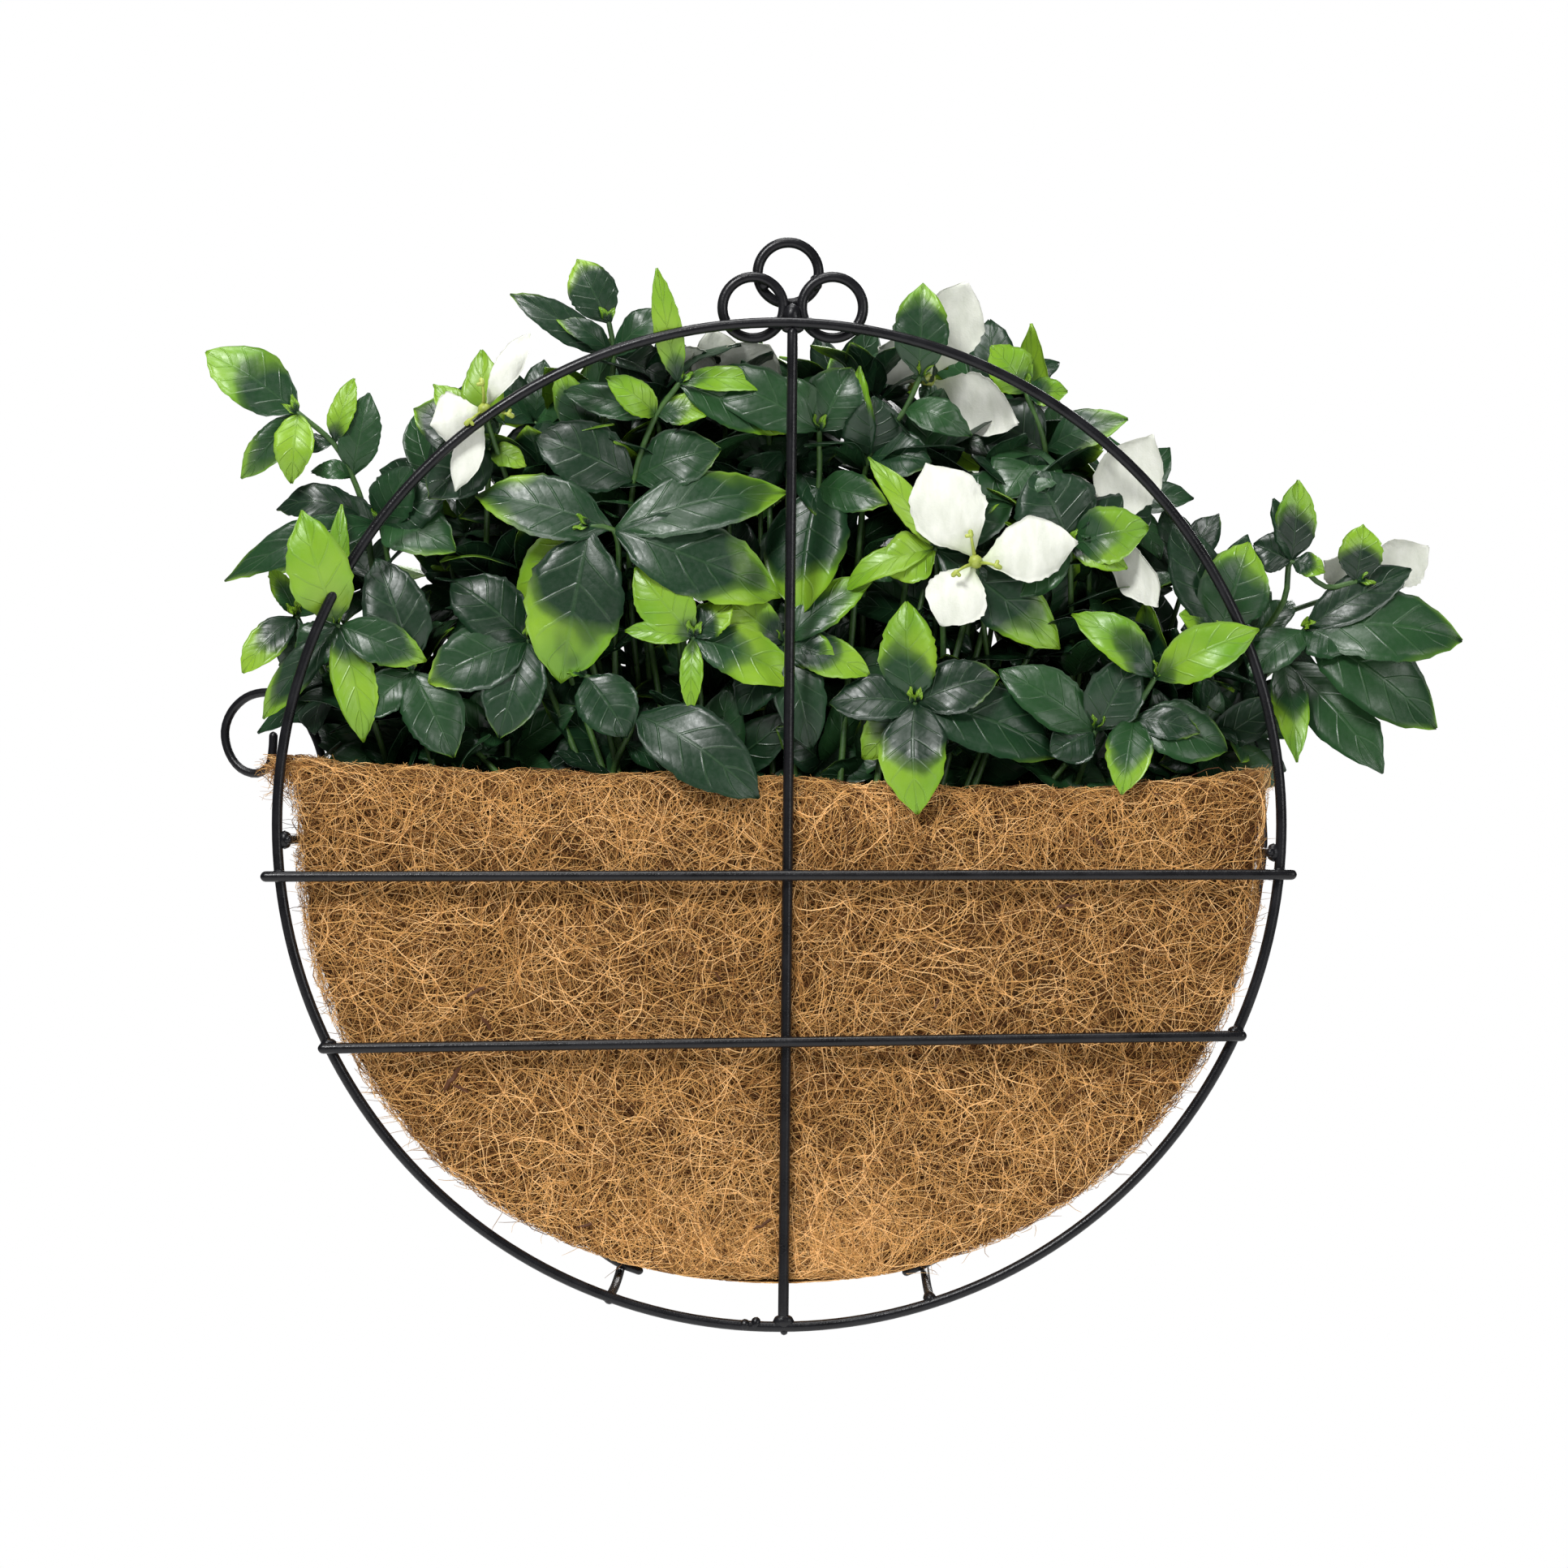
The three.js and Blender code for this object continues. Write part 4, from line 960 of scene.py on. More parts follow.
def add_blade(pile, base, tip, width, random, lime=0.0, arch=0.12, facing=None, rows=18, columns=8, slot=0,
              outline=leaf_outline, fold=0.2, wave=0.7, puff=0.07, roll=0.35):
    """A leaf or petal with two sides and a rim: arched, folded at its midrib and wavy at its edges."""
    base, tip = np.asarray(base, float), np.asarray(tip, float)
    length = np.linalg.norm(tip - base)
    along_direction = (tip - base) / length
    facing = FACING if facing is None else facing
    facing = unit(facing + random.normal(0, roll, 3) * np.array([1, 0.3, 0.6]))
    side = unit(np.cross(along_direction, facing))
    normal = np.cross(side, along_direction)
    u = np.linspace(0, 1, rows + 1)[:, None]
    v = np.linspace(-1, 1, columns + 1)[None]
    rise = 4 * arch * length * (u * (1 - u)) - TIP_DROOP * length * u**3
    middle = base + along_direction * u * length + normal * rise
    tangent = unit(np.gradient(middle, axis=0))
    upright = unit(np.cross(side[None], tangent))
    half = width / 2 * FULLNESS * outline(u)
    sides = [0] * (columns // 2) + [1] * (columns - columns // 2 + 1)
    half = half + random.normal(0, 0.012, (rows + 1, 2))[:, sides] * width * (u < 0.97)
    half = np.maximum(half, 0.45)
    twist = random.uniform(-0.25, 0.25) * u
    crossing = np.cos(twist)[..., None] * side + np.sin(twist)[..., None] * upright[:, None]
    lifting = np.cos(twist)[..., None] * upright[:, None] - np.sin(twist)[..., None] * side
    spread = v * half * math.cos(fold)
    folded = np.abs(v) * half * math.sin(fold) - 0.16 * half * v**4
    ripple = wave * np.sin(2 * math.pi * (u * random.uniform(1.2, 2.4) + random.uniform())) * v**2
    between_veins = np.abs(np.sin(math.pi * (u * VEIN_PAIRS - np.abs(v) * VEIN_SLANT)))
    puffed = puff * between_veins * (1 - np.abs(v)) * np.abs(v) * 4
    lifted = folded + ripple + puffed
    top = middle[:, None] + crossing * spread[..., None] + lifting * lifted[..., None]
    top = kept_back(top, base, tip, u)
    depth = LEAF_THICKNESS * (0.35 + 0.65 * (1 - v**4)) * np.ones_like(u)
    under = top - lifting * depth[..., None]
    over_faces = grid_faces(rows + 1, columns + 1, False)
    across = columns + 1
    count = (rows + 1) * across
    left, first = np.arange(rows) * across, np.arange(columns)
    right, last = left + columns, first + rows * across
    rim = np.vstack([
        np.stack([left, left + across, left + across + count, left + count], -1),
        np.stack([right + count, right + across + count, right + across, right], -1),
        np.stack([first + 1, first + 1 + count, first + count, first], -1),
        np.stack([last + count, last + 1 + count, last + 1, last], -1),
    ])
    towards_lime = 0.06 + 0.9 * (u - 0.64) + 0.22 * (v**2 - 0.4) * smoothstep(0, 0.4, u)
    shades = {"lime": lime + towards_lime if lime > 0 else NO_LIME, "along": u, "across": v}
    for name, value in shades.items():
        shades[name] = np.tile(np.broadcast_to(value, spread.shape).ravel(), 2)
    pile.add(
        np.vstack([top.reshape(-1, 3), under.reshape(-1, 3)]),
        [over_faces[:, ::-1], over_faces + count, rim],
        slot,
        tone=random.uniform(),
        **shades,
    )


def add_stem(pile, points, slot=1, radius=(1.5, 1.1)):
    path = smooth_path(points, 5)
    add_tube(pile, path, np.linspace(*radius, len(path)), 8, slot, cap_steps=3)


WHORL_NEAREST = 19  # the unnamed leaves stay this far behind the ring plane, under the sprays' own


def whorl(pile, bud, direction, count, size, random, lime=0.0, openness=1.0):
    """Leaves that stand round a bud, leaning outwards from the stem's direction."""
    side = unit(np.cross(direction, WALLWARD + 0.01))
    other = np.cross(direction, side)
    start = random.uniform(0, 2 * math.pi)
    for i in range(count):
        turn = start + 2 * math.pi * (i + random.uniform(-0.2, 0.2)) / count
        outward = side * math.cos(turn) + other * math.sin(turn)
        lean = random.uniform(0.75, 1.25) * openness
        heading = unit(direction * math.cos(lean) + outward * math.sin(lean) + UPWARD * 0.12)
        length = size * random.uniform(0.75, 1.15)
        facing = unit(direction * 0.9 - outward * 0.35 + FACING * 0.25)
        tip = bud + heading * length
        tip[1] = min(tip[1], RING_CENTRE[1] - WHORL_NEAREST)
        add_blade(
            pile, bud, tip, length * random.uniform(0.42, 0.52), random,
            lime * random.uniform(0.4, 1.2), random.uniform(0.02, 0.16), facing, rows=12, columns=6,
        )


# Each spray: its root on the foam (right, forward), the points of its stem up to the bud, and its leaves as
# (stem point, tip right, forward, up, width, lime, arch), where lime 0 and arch 0.1 go without saying.
SPRAYS = {
    "far_left": ([-140, 60], [
        (-163, 30, 100), (-166, 28, 124), (-171, 26, 139), (-178, 22, 152), (-192, 20, 164)], [
        (4, -228, 16, 189, 25, 0.6, 0.06), (4, -215, 20, 138, 13, 0.4), (4, -194, 14, 136, 15, 0.95, 0.2),
        (3, -170, 20, 178, 10, 0.8), (2, -164, 20, 172, 16, 0, 0.08), (3, -197, 26, 152, 8),
        (1, -202, 28, 127, 15, 0.05, 0.28), (2, -187, 24, 141, 8, 0, 0.3)]),
    "high_left": ([-125, 66], [(-150, 40, 70), (-160, 30, 120)], [
        (1, -129, 10, 110, 24, 0.2), (1, -147, 16, 142, 20), (1, -221, 14, 98, 16, 0.1, 0.3),
        (1, -206, 30, 100, 12, 0.2, 0.2), (1, -184, 22, 128, 14), (1, -134, 18, 132, 22)]),
    "ring_left": ([-150, 40], [(-162, 26, 40), (-175, 10, 79)], [
        (1, -188, -5, 123, 24, 0.8, 0.16), (1, -164, 4, 33, 17, 0.75), (1, -140, 8, 65, 17, 0.35, 0.12),
        (1, -191, 12, 64, 18, 0.1), (1, -206, 14, 42, 13, 0.35), (1, -174, 8, 127, 9, 0.9, 0.05)]),
    "outer_left": ([-150, 80], [(-180, 50, 50), (-193, 24, 83)], [
        (1, -214, 16, 61, 15, 0.45), (1, -203, 18, 102, 10, 0.4), (1, -175, 24, 104, 18),
        (1, -196, 30, 58, 14, 0.1, 0.15)]),
    "shoulder_left": ([-110, 40], [(-108, 30, 50), (-100, 18, 73)], [
        (1, -139, 8, 57, 25, 0.1, 0.12), (1, -111, 8, 35, 24, 0.05), (1, -123, 26, 90, 18),
        (1, -131, 18, 98, 26, 0, 0.12), (1, -86, 22, 84, 20)]),
    "rim_left": ([-130, 24], [(-142, 22, 36), (-146, 14, 61)], [
        (1, -129, 8, 27, 24, 0.05, 0.08), (1, -166, 10, 43, 16), (1, -160, 14, 106, 25, 0, 0.12)]),
    "centre_left": ([-66, 40], [(-66, 28, 70), (-66, 12, 117), (-75, 9, 118)], [
        (1, -121, 10, 132, 26, 0.25, 0.12), (2, -87, 8, 56, 37, 0.45, 0.08),
        (2, -104, 22, 80, 30, 0.95, 0.0), (1, 1, 12, 91, 30, 0.35, 0.12), (1, 3, 20, 134, 26, 0.3)]),
    "upper_left": ([-50, 66], [(-60, 40, 90), (-58, 24, 138), (-49, 18, 163), (-40, 14, 175)], [
        (3, -48, -5, 218, 11, 0.85), (3, 1, 8, 174, 11, 0.9, 0.24), (3, 3, 14, 157, 19, 0.4),
        (2, -68, 8, 177, 13, 0.9, 0.16), (1, -97, 16, 155, 27), (1, -24, 16, 150, 24, 0.05, 0.12),
        (2, -24, 14, 167, 13, 0.6), (2, -86, 18, 173, 13)]),
    "crest_left": ([-84, 74], [(-85, 50, 90), (-74, 34, 150), (-66, 24, 187), (-68, 23, 200)], [
        (2, -107, 18, 212, 13, 0.05, 0.08), (2, -90, 18, 203, 10, 0.3, 0.18),
        (2, -41, 18, 205, 14, 0.05, 0.22), (3, -81, 22, 226, 18, 0.22, 0.08), (2, -45, 30, 178, 19),
        (1, -89, 25, 182, 15, 0.4)]),
    "wing_left": ([-116, 46], [(-118, 34, 100), (-116, 22, 150)], [
        (1, -119, 18, 189, 17, 0.7), (1, -146, 22, 167, 24, 0.2), (1, -138, 20, 176, 14, 0.7),
        (1, -101, 16, 143, 10, 0.8), (1, -139, 10, 130, 23, 0.1, 0.15)]),
    "crest_right": ([34, 70], [(34, 46, 90), (36, 28, 147), (50, 20, 165), (56, 18, 178)], [
        (3, 57, 12, 215, 21, 0.4), (2, 76, 12, 155, 14, 0.1, 0.24), (1, 38, 16, 170, 24),
        (1, 31, 16, 182, 12, 0.5), (1, 60, 14, 145, 22, 0.05)]),
    "crown": ([10, 54], [(12, 44, 90), (16, 32, 136), (16, 22, 157)], [
        (2, 29, 18, 182, 24, 0.1), (2, -32, 20, 180, 22, 0, 0.2), (1, 8, 12, 85, 36, 0.4, 0.06),
        (1, 42, 12, 128, 16, 0.2), (2, -2, 18, 178, 18)]),
    "bright_right": ([60, 44], [(66, 32, 70), (62, 18, 110)], [
        (1, 41, 12, 101, 20, 1.1), (1, 36, 12, 146, 11, 1, 0.16), (1, 25, 16, 94, 13, 0.9, 0.16),
        (1, 113, 17, 71, 26, 0.4, 0.04), (1, 94, 24, 140, 25), (1, 92, 22, 134, 8, 0.3)]),
    "centre_right": ([54, 26], [(54, 24, 20), (54, 12, 48)], [
        (1, 50, 6, 88, 23, 0.5), (1, 87, 8, 59, 21, 0.15, 0.12), (1, 20, 10, 49, 20, 0.05),
        (1, 54, -4, 5, 26, 0.45, 0.14), (1, 33, 14, 26, 18, 0.4), (1, 112, 12, 28, 29, 0.05, 0.14)]),
    "low_right": ([112, 34], [(118, 28, 12), (126, 18, 37)], [
        (1, 88, 12, 62, 22), (1, 141, 12, 66, 22), (1, 108, 14, 28, 18)]),
    "centre": ([-36, 30], [(-38, 24, 34), (-34, 10, 74)], [
        (1, -57, 9, 102, 21, 0.9), (1, 7, 7, 57, 23, 0.55, 0.12), (1, -19, 10, 88, 15, 0.5),
        (1, -35, 4, 45, 9, 0.95), (1, -61, 8, 77, 9, 0.9)]),
    "rim_centre": ([-68, 24], [(-66, 22, 22), (-58, 13, 44), (-70, 14, 56), (-77, 13, 59)], [
        (1, -8, -4, 12, 29, 0, 0.12), (3, -60, 6, 35, 24, 0, 0.12)]),
    "middle": ([8, 34], [(6, 30, 30), (2, 20, 72)], [
        (1, -31, 10, 97, 17, 0.75, 0.14), (1, 22, 12, 66, 15, 0.4), (1, 36, 12, 60, 17, 0.5),
        (1, 13, 14, 30, 20), (1, 36, 12, 98, 17, 0.5), (1, -16, 14, 44, 20)]),
    "high_right": ([104, 64], [(106, 44, 90), (107, 30, 150), (99, 28, 173)], [
        (2, 85, 22, 191, 19, 0.85), (2, 115, 22, 173, 11, 0.6), (1, 90, 16, 131, 29),
        (1, 138, 16, 162, 18, 0.35, 0.12), (1, 82, 34, 164, 28)]),
    "shoulder_right": ([122, 50], [(118, 36, 70), (116, 18, 111)], [
        (1, 146, 8, 118, 22, 0.6, 0.14), (1, 138, 10, 102, 13, 0.6), (1, 102, 14, 140, 34),
        (1, 150, 28, 128, 22), (1, 92, 18, 92, 20)]),
    "rim_right": ([140, 26], [(138, 24, 14), (141, 16, 42), (149, 10, 58)], [
        (2, 117, 6, 84, 17, 0.7, 0.24), (2, 188, -5, 77, 20, 0.85, 0.18), (2, 170, 10, 66, 11, 0.9),
        (1, 135, -4, 13, 18, 0.4, 0.12), (1, 167, 10, 37, 13, 0.1), (1, 179, 16, 30, 24, 0.15)]),
    "ring_right": ([152, 48], [(164, 38, 36), (176, 24, 76)], [
        (1, 187, 16, 112, 27, 0.4, 0.12), (1, 158, 22, 120, 22), (1, 187, 22, 116, 16),
        (1, 160, 16, 84, 17, 0.5)]),
    "far_right": ([140, 76], [(176, 60, 50), (203, 32, 90), (205, 24, 105), (219, 26, 95), (231, 26, 97)], [
        (2, 198, 20, 130, 12), (2, 207, 18, 137, 16, 0.55, 0.08), (2, 218, 20, 101, 10, 0.5, 0.12),
        (4, 234, 24, 120, 17, 0.5), (2, 190, 24, 112, 16)]),
    "outer_right": ([124, 96], [(176, 84, 40), (204, 50, 66), (211, 30, 78)], [
        (2, 274, 26, 75, 31, 0.22, 0.12), (2, 228, 20, 70, 23), (2, 265, 30, 39, 30, 0.2, 0.12),
        (1, 242, 24, 22, 25), (1, 206, 12, 27, 14, 0.5), (2, 254, 30, 103, 18, 0, 0.12),
        (2, 188, 20, 60, 20)]),
}

# Each flower: its root on the foam, the points of its stem, the direction it faces, and its petals as (tip
# right, forward, up, width).
FLOWERS = {
    "centre": ([84, 36], [(84, 32, 60), (78, 11, 104)], (-0.1, -1, 0.15), [
        (58, 6, 143, 31), (118, 6, 112, 26), (64, 6, 79, 26)]),
    "left": ([-98, 60], [(-100, 46, 100), (-117, 8, 164)], (0.2, -1, 0.1), [
        (-138, 4, 158, 22), (-99, 8, 195, 11), (-128, 2, 132, 12)]),
    "top_right": ([60, 78], [(62, 56, 100), (60, 30, 178)], (0.2, 1, 0.4), [
        (75, 26, 217, 28), (40, 30, 192, 22), (96, 18, 160, 25)]),
    "right": ([110, 40], [(124, 38, 80), (124, 22, 116)], (0.5, 0.6, 0.3), [
        (150, 18, 155, 27), (152, 10, 87, 19), (118, 30, 140, 16)]),
    "top_left": ([-20, 80], [(-22, 60, 100), (-22, 44, 172)], (0, 1, 0.5), [
        (-46, 38, 190, 22), (-4, 38, 194, 28), (-28, 40, 200, 22)]),
    "far_right": ([128, 66], [(186, 56, 74), (238, 42, 97)], (0.4, 0.8, 0.3), [
        (262, 38, 112, 22), (220, 40, 107, 18), (246, 60, 92, 22)]),
    "front_left": ([-64, 120], [(-70, 130, 60), (-84, 150, 118)], (-0.2, 1, 0.4), [
        (-112, 160, 140, 28), (-62, 166, 142, 28), (-92, 176, 92, 26)]),
    "front_right": ([50, 130], [(56, 140, 70), (64, 158, 136)], (0.2, 1, 0.4), [
        (92, 164, 160, 28), (36, 170, 160, 28), (66, 188, 110, 26)]),
}


def ring_direction(right, forward, up):
    """A direction of the ring frame, in the row frame."""
    return unit(np.array([-right, -forward, up], float))


def stem_points(root, path):
    return [at(*root, -24), at(*root, -8), *(at(*point) for point in path)]


PAIRS_AT = (0.62, 0.62 * 0.72)


def add_pairs(pile, points, random, lime=0.0, size=34):
    """Opposite leaves lower down a stem, where the foliage is dense and dark."""
    path = smooth_path(points, 4)
    for place in PAIRS_AT:
        index = int(place * (len(path) - 2))
        direction = unit(path[index + 1] - path[index])
        whorl(pile, path[index], direction, 2, size, random, lime, 1.15)


def add_leaf(pile, path, random, node, right, forward, up, width, lime=0, arch=0.1):
    """One row of a spray's leaves."""
    tip = at(right, forward, up)
    add_blade(pile, at(*path[node]), tip, width, random, lime, arch, SHOWN, rows=24, columns=10, roll=0.2)


def build_spray(name, root, path, leaves, seed):
    random = np.random.default_rng(seed)
    pile = Pile()
    points = stem_points(root, path)
    add_stem(pile, points)
    for leaf in leaves:
        add_leaf(pile, path, random, *leaf)
    bud = at(*path[-1])
    direction = unit(bud - at(*path[-2]))
    for lean in (-0.5, 0.5):
        heading = unit(direction + lean * np.cross(direction, WALLWARD) + 0.5 * FACING)
        add_blade(pile, bud, bud + heading * 8, 3, random, 0.6, 0.1, rows=10, columns=6, puff=0)
    add_pairs(pile, points, random)
    pile.make("spray_" + name + "_plant", PLANTING, [LEAF, STEM], ["spray_" + name])


STAMEN_LENGTH = 9.5


def curled(base, direction, side):
    """The points of a stamen that rises and curls over at its tip."""
    share = np.linspace(0, 1, 8)[:, None]
    return base + STAMEN_LENGTH * (direction * np.sin(share * 1.35) + side * (0.35 * share + 0.45 * share**2))


def build_flower(name, root, path, facing, petals, seed):
    random = np.random.default_rng(seed)
    pile = Pile()
    points = stem_points(root, path)
    centre = at(*path[-1])
    add_stem(pile, points, 1, (1.3, 1.0))
    direction = ring_direction(*facing)
    for right, forward, up, width in petals:
        tip = at(right, forward, up)
        add_blade(
            pile, centre, tip, width / FULLNESS, random, 0, 0.1, direction, rows=26, columns=14,
            outline=petal_outline, fold=-0.1, wave=1.1, puff=0.0, roll=0.12,
        )
    side = unit(np.cross(direction, UPWARD + 0.1))
    other = np.cross(direction, side)
    for i in range(3):
        turn = 0.6 + i * 2 * math.pi / 3
        outward = side * math.cos(turn) + other * math.sin(turn)
        path_out = curled(centre + outward * 1.5, direction, outward)
        add_tube(pile, path_out, np.linspace(0.8, 0.55, len(path_out)), 6, 2, cap_steps=3)
        knob = path_out[-1]
        add_tube(pile, [knob, knob + outward * 1.6 - direction * 0.8], 1.05, 6, 2, cap_steps=3)
        add_tube(pile, [knob, knob + np.cross(direction, outward) * 1.7], 0.8, 6, 2, cap_steps=3)
    add_tube(pile, [centre - direction * 2.5, centre + direction * 2.2], [2.4, 2.8], 10, 2, cap_steps=3)
    for _ in range(3):
        tip = centre + unit(-direction * 0.8 + random.normal(0, 0.6, 3)) * 13
        add_blade(pile, centre - direction * 2, tip, 5, random, 0, 0.1, rows=8, columns=6, slot=3)
    node = "flower_" + name
    pile.make(node + "_plant", PLANTING, [PETAL, STEM, STAMEN, LEAF], [node])


FRONT_SPRAYS = 8
FRONT_FROM, FRONT_SWEEP = 26, 126  # degrees round the bowl from its left end
FRONT_CENTRE = 6
FRONT_LIMES = (0.75, 0.2, 0.4, 0.15, 0.55)
# Every other front spray stands high. Its leaves' tips are (outwards, up, aside, width).
HIGH_TIPS = [
    (112, 202, 12, 20), (150, 172, -20, 22), (142, 132, 30, 24), (92, 186, -42, 20), (120, 150, 52, 20),
]
LOW_TIPS = [
    (196, 100, 10, 24), (178, 58, -26, 26), (166, 130, 32, 24), (172, 76, 44, 22), (150, 140, -34, 22),
]


def front_spray(index):
    """The stem and leaves of one spray over the front of the bowl, as a table row."""
    angle = math.radians(FRONT_FROM + FRONT_SWEEP * index / (FRONT_SPRAYS - 1))
    high = index % 2

    def radial(out, up, aside=0):
        right = -out * math.cos(angle) + aside * math.sin(angle)
        return (right, out * math.sin(angle) + FRONT_CENTRE + aside * math.cos(angle), up)

    bud = radial(96, 150) if high else radial(140, 92)
    root = radial(72 if high else 104, 0)[:2]
    middle = radial(84, 60) if high else radial(120, 36)
    tips = HIGH_TIPS if high else LOW_TIPS
    return root, [middle, bud], [(*radial(out, up, aside), width) for out, up, aside, width in tips], angle


def build_front_spray(index):
    random = np.random.default_rng(300 + index)
    root, path, leaves, angle = front_spray(index)
    pile = Pile()
    points = stem_points(root, path)
    add_stem(pile, points)
    outward = ring_direction(-math.cos(angle), math.sin(angle), 0.9)
    bud = at(*path[-1])
    for i, (right, forward, up, width) in enumerate(leaves):
        lime = FRONT_LIMES[(i + index) % len(FRONT_LIMES)]
        add_blade(pile, bud, at(right, forward, up), width, random, lime, 0.14, outward, 22, 10)
    whorl(pile, bud, outward, 3, 22, random, 0.9, 0.55)
    add_pairs(pile, points, random, 0.1, 40)
    node = f"spray_front_{index + 1}"
    pile.make(node + "_plant", PLANTING, [LEAF, STEM], [node])


# The dark foliage between the sprays: arcs of stems, each row higher and nearer the wall than the last.
FILL_ROWS = [
    {"reach": 158, "up": 46, "count": 15, "size": 44},
    {"reach": 128, "up": 88, "count": 13, "size": 46},
    {"reach": 98, "up": 128, "count": 11, "size": 44},
    {"reach": 60, "up": 156, "count": 7, "size": 40},
]
BACK_FILL_DEEPER = 9
BACK_FILL = [
    (-168, 40, 96), (-150, 46, 60), (-178, 40, 52), (-140, 44, 138), (-120, 46, 92), (-112, 42, 44),
    (-96, 46, 132), (-88, 38, 66), (-70, 44, 96), (-64, 38, 36), (-44, 42, 120), (-40, 44, 172),
    (-28, 40, 54), (-14, 46, 96), (4, 42, 146), (16, 40, 60), (26, 48, 110), (36, 42, 34), (56, 46, 84),
    (70, 44, 158), (76, 40, 44), (92, 44, 116), (100, 48, 70), (128, 44, 92), (140, 50, 130),
    (120, 42, 34), (150, 46, 60), (166, 46, 100), (172, 42, 38), (186, 54, 78), (-100, 56, 164),
    (88, 56, 172), (24, 54, 172), (-60, 50, 150), (-130, 40, 30), (-90, 36, 26), (-44, 36, 26),
    (4, 36, 28), (146, 38, 32), (-158, 38, 30), (58, 38, 24), (94, 38, 26), (-8, 52, 160), (110, 52, 148),
    (-128, 52, 118), (-20, 40, 28), (186, 44, 44), (-66, 52, 120), (-110, 30, 28), (-68, 30, 24),
    (-24, 28, 22), (20, 28, 22), (40, 30, 20), (76, 30, 22), (112, 30, 24), (132, 28, 22), (158, 28, 26),
    (-146, 30, 34), (172, 26, 30),
]  # right, forward, up of the dark buds just behind the sprays


def build_fill():
    """The fill foliage in its rows, and the back foliage by its table."""
    random = np.random.default_rng(11)
    pile = Pile()
    for row in FILL_ROWS:
        for i in range(row["count"]):
            angle = math.pi * (i + 0.5 + random.uniform(-0.2, 0.2)) / row["count"]
            reach = row["reach"] * random.uniform(0.82, 1.05)
            up = row["up"] * random.uniform(0.9, 1.12)
            forward = max(34.0, reach * math.sin(angle))
            bud = at(-reach * math.cos(angle), forward, up)
            root = (-0.62 * reach * math.cos(angle), max(20.0, 0.62 * forward))
            middle = (bud + at(*root, -10)) / 2 + UPWARD * 8
            add_stem(pile, [at(*root, -22), at(*root, -8), middle, bud])
            direction = unit(bud - middle + UPWARD * 14)
            lime = 0.35 if random.uniform() < 0.25 else 0.0
            whorl(pile, bud, direction, 6, row["size"], random, lime)
            whorl(pile, (bud * 2 + middle) / 3, direction, 4, row["size"], random, 0, 1.25)
    pile.make("fill_foliage", PLANTING, [LEAF, STEM])
    pile = Pile()
    for right, forward, up in BACK_FILL:
        bud = at(right, forward + BACK_FILL_DEEPER, up)
        root = (right * 0.8, max(18.0, forward * 0.8))
        middle = (at(*root, -8) + bud) / 2 + UPWARD * 4
        add_stem(pile, [at(*root, -22), at(*root, -8), middle, bud], 1, (1.3, 1.0))
        rising = random.uniform(0.3, 1.0) if up > 40 else random.uniform(-0.5, 0.2)
        direction = ring_direction(right * 0.003 + random.uniform(-0.35, 0.35), -0.9, rising)
        size = random.uniform(30, 40)
        whorl(pile, bud, direction, 6, size, random, 0.12 if random.uniform() < 0.3 else 0, 1.2)
    pile.make("back_foliage", PLANTING, [LEAF, STEM])


build_foam()
for number, (spray_name, spray) in enumerate(SPRAYS.items()):
    build_spray(spray_name, *spray, 100 + number)
for number, (flower_name, flower) in enumerate(FLOWERS.items()):
    build_flower(flower_name, *flower, 200 + number)
for number in range(FRONT_SPRAYS):
    build_front_spray(number)
build_fill()

# ---- the stage ----


CAMERA_DISTANCE = 1600
CAMERA_RIGHT, CAMERA_UP = 1.9, 16
VIEW_WIDTH = 618.24
WORLD_LIGHT = 0.29  # what the white surroundings give, and the weaker glow of them that shows in reflections
MIRRORED_LIGHT = 0.1


def area_light(name, place, target, size, power):
    light = bpy.data.lights.new(name, "AREA")
    light.shape = "DISK"
    light.size = size
    light.energy = power
    holder = bpy.data.objects.new(name, light)
    holder.location = place
    holder.rotation_euler = (Vector(target) - Vector(place)).to_track_quat("-Z", "Y").to_euler()
    bpy.context.scene.collection.objects.link(holder)


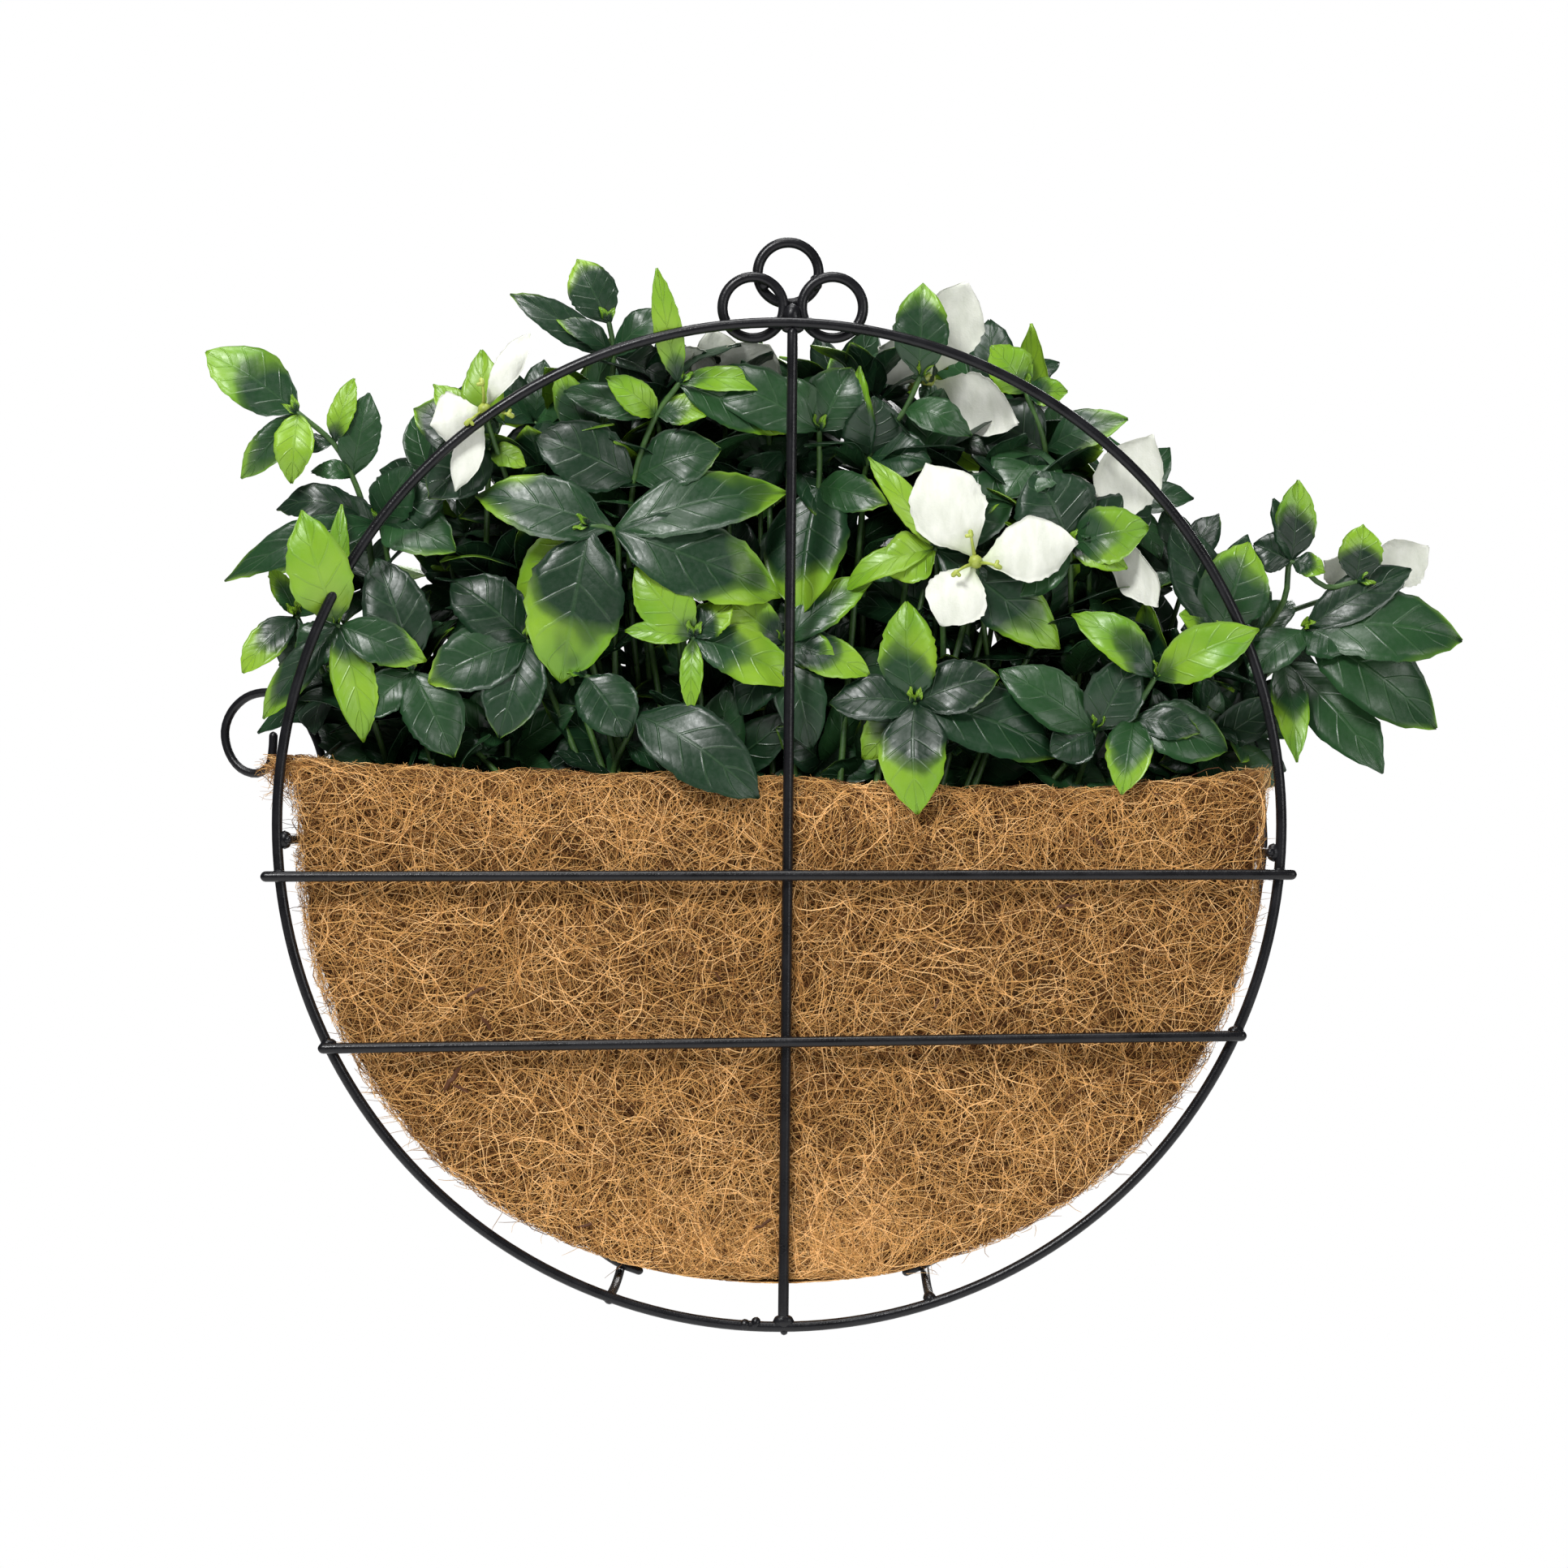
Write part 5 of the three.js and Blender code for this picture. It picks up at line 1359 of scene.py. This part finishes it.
def build_stage():
    scene = bpy.context.scene
    scene.view_settings.view_transform = "Standard"
    camera = bpy.data.cameras.new("camera")
    camera.lens = 36 * CAMERA_DISTANCE / VIEW_WIDTH
    camera.clip_end = 30
    holder = bpy.data.objects.new("camera", camera)
    holder.location = at(CAMERA_RIGHT, -CAMERA_DISTANCE, CAMERA_UP) * MM
    holder.rotation_euler = (math.pi / 2, 0, math.pi)
    scene.collection.objects.link(holder)
    scene.camera = holder

    world = bpy.data.worlds.new("studio")
    scene.world = world
    world.use_nodes = True
    tree = world.node_tree
    output = tree.nodes["World Output"]
    seen, lighting = tree.nodes["Background"], tree.nodes.new("ShaderNodeBackground")
    for background in (seen, lighting):
        background.inputs["Color"].default_value = (1, 1, 1, 1)
    rays = tree.nodes.new("ShaderNodeLightPath")
    mirrored = tree.nodes.new("ShaderNodeMapRange")
    mirrored.inputs["To Min"].default_value = WORLD_LIGHT
    mirrored.inputs["To Max"].default_value = MIRRORED_LIGHT
    tree.links.new(rays.outputs["Is Glossy Ray"], mirrored.inputs["Value"])
    tree.links.new(mirrored.outputs["Result"], lighting.inputs["Strength"])
    choice = tree.nodes.new("ShaderNodeMixShader")
    tree.links.new(rays.outputs["Is Camera Ray"], choice.inputs[0])
    tree.links.new(lighting.outputs[0], choice.inputs[1])
    tree.links.new(seen.outputs[0], choice.inputs[2])
    tree.links.new(choice.outputs[0], output.inputs["Surface"])

    middle = RING_CENTRE * MM
    area_light("key", (0.7, 1.35, 1.05), middle, 0.55, 34)
    area_light("fill", (-1.3, 1.3, 0.1), middle, 0.9, 8.5)
    area_light("top", (0.1, 0.1, 1.4), middle, 0.8, 16)
    area_light("front", (-0.3, -1.8, 0.6), middle, 1.2, 22)

    floor = bpy.data.meshes.new("floor")
    low, far, near, half = -0.78, -1.0, 2.4, 2.2
    corners = [(-half, far, low), (half, far, low), (half, near, low), (-half, near, low)]
    floor.from_pydata(corners, [], [(0, 1, 2, 3)])
    pale = Recipe("pale_floor", Roughness=0.8, Emission_Strength=0.25)
    pale.shader.inputs["Emission Color"].default_value = (1, 1, 1, 1)
    tint = pale.noise(3, 2)
    pale.set("Base Color", pale.ramp(tint, [(0.3, 0.78), (0.7, 0.82)]))
    floor.materials.append(pale.material)
    ground = bpy.data.objects.new("floor", floor)
    scene.collection.objects.link(ground)


build_stage()
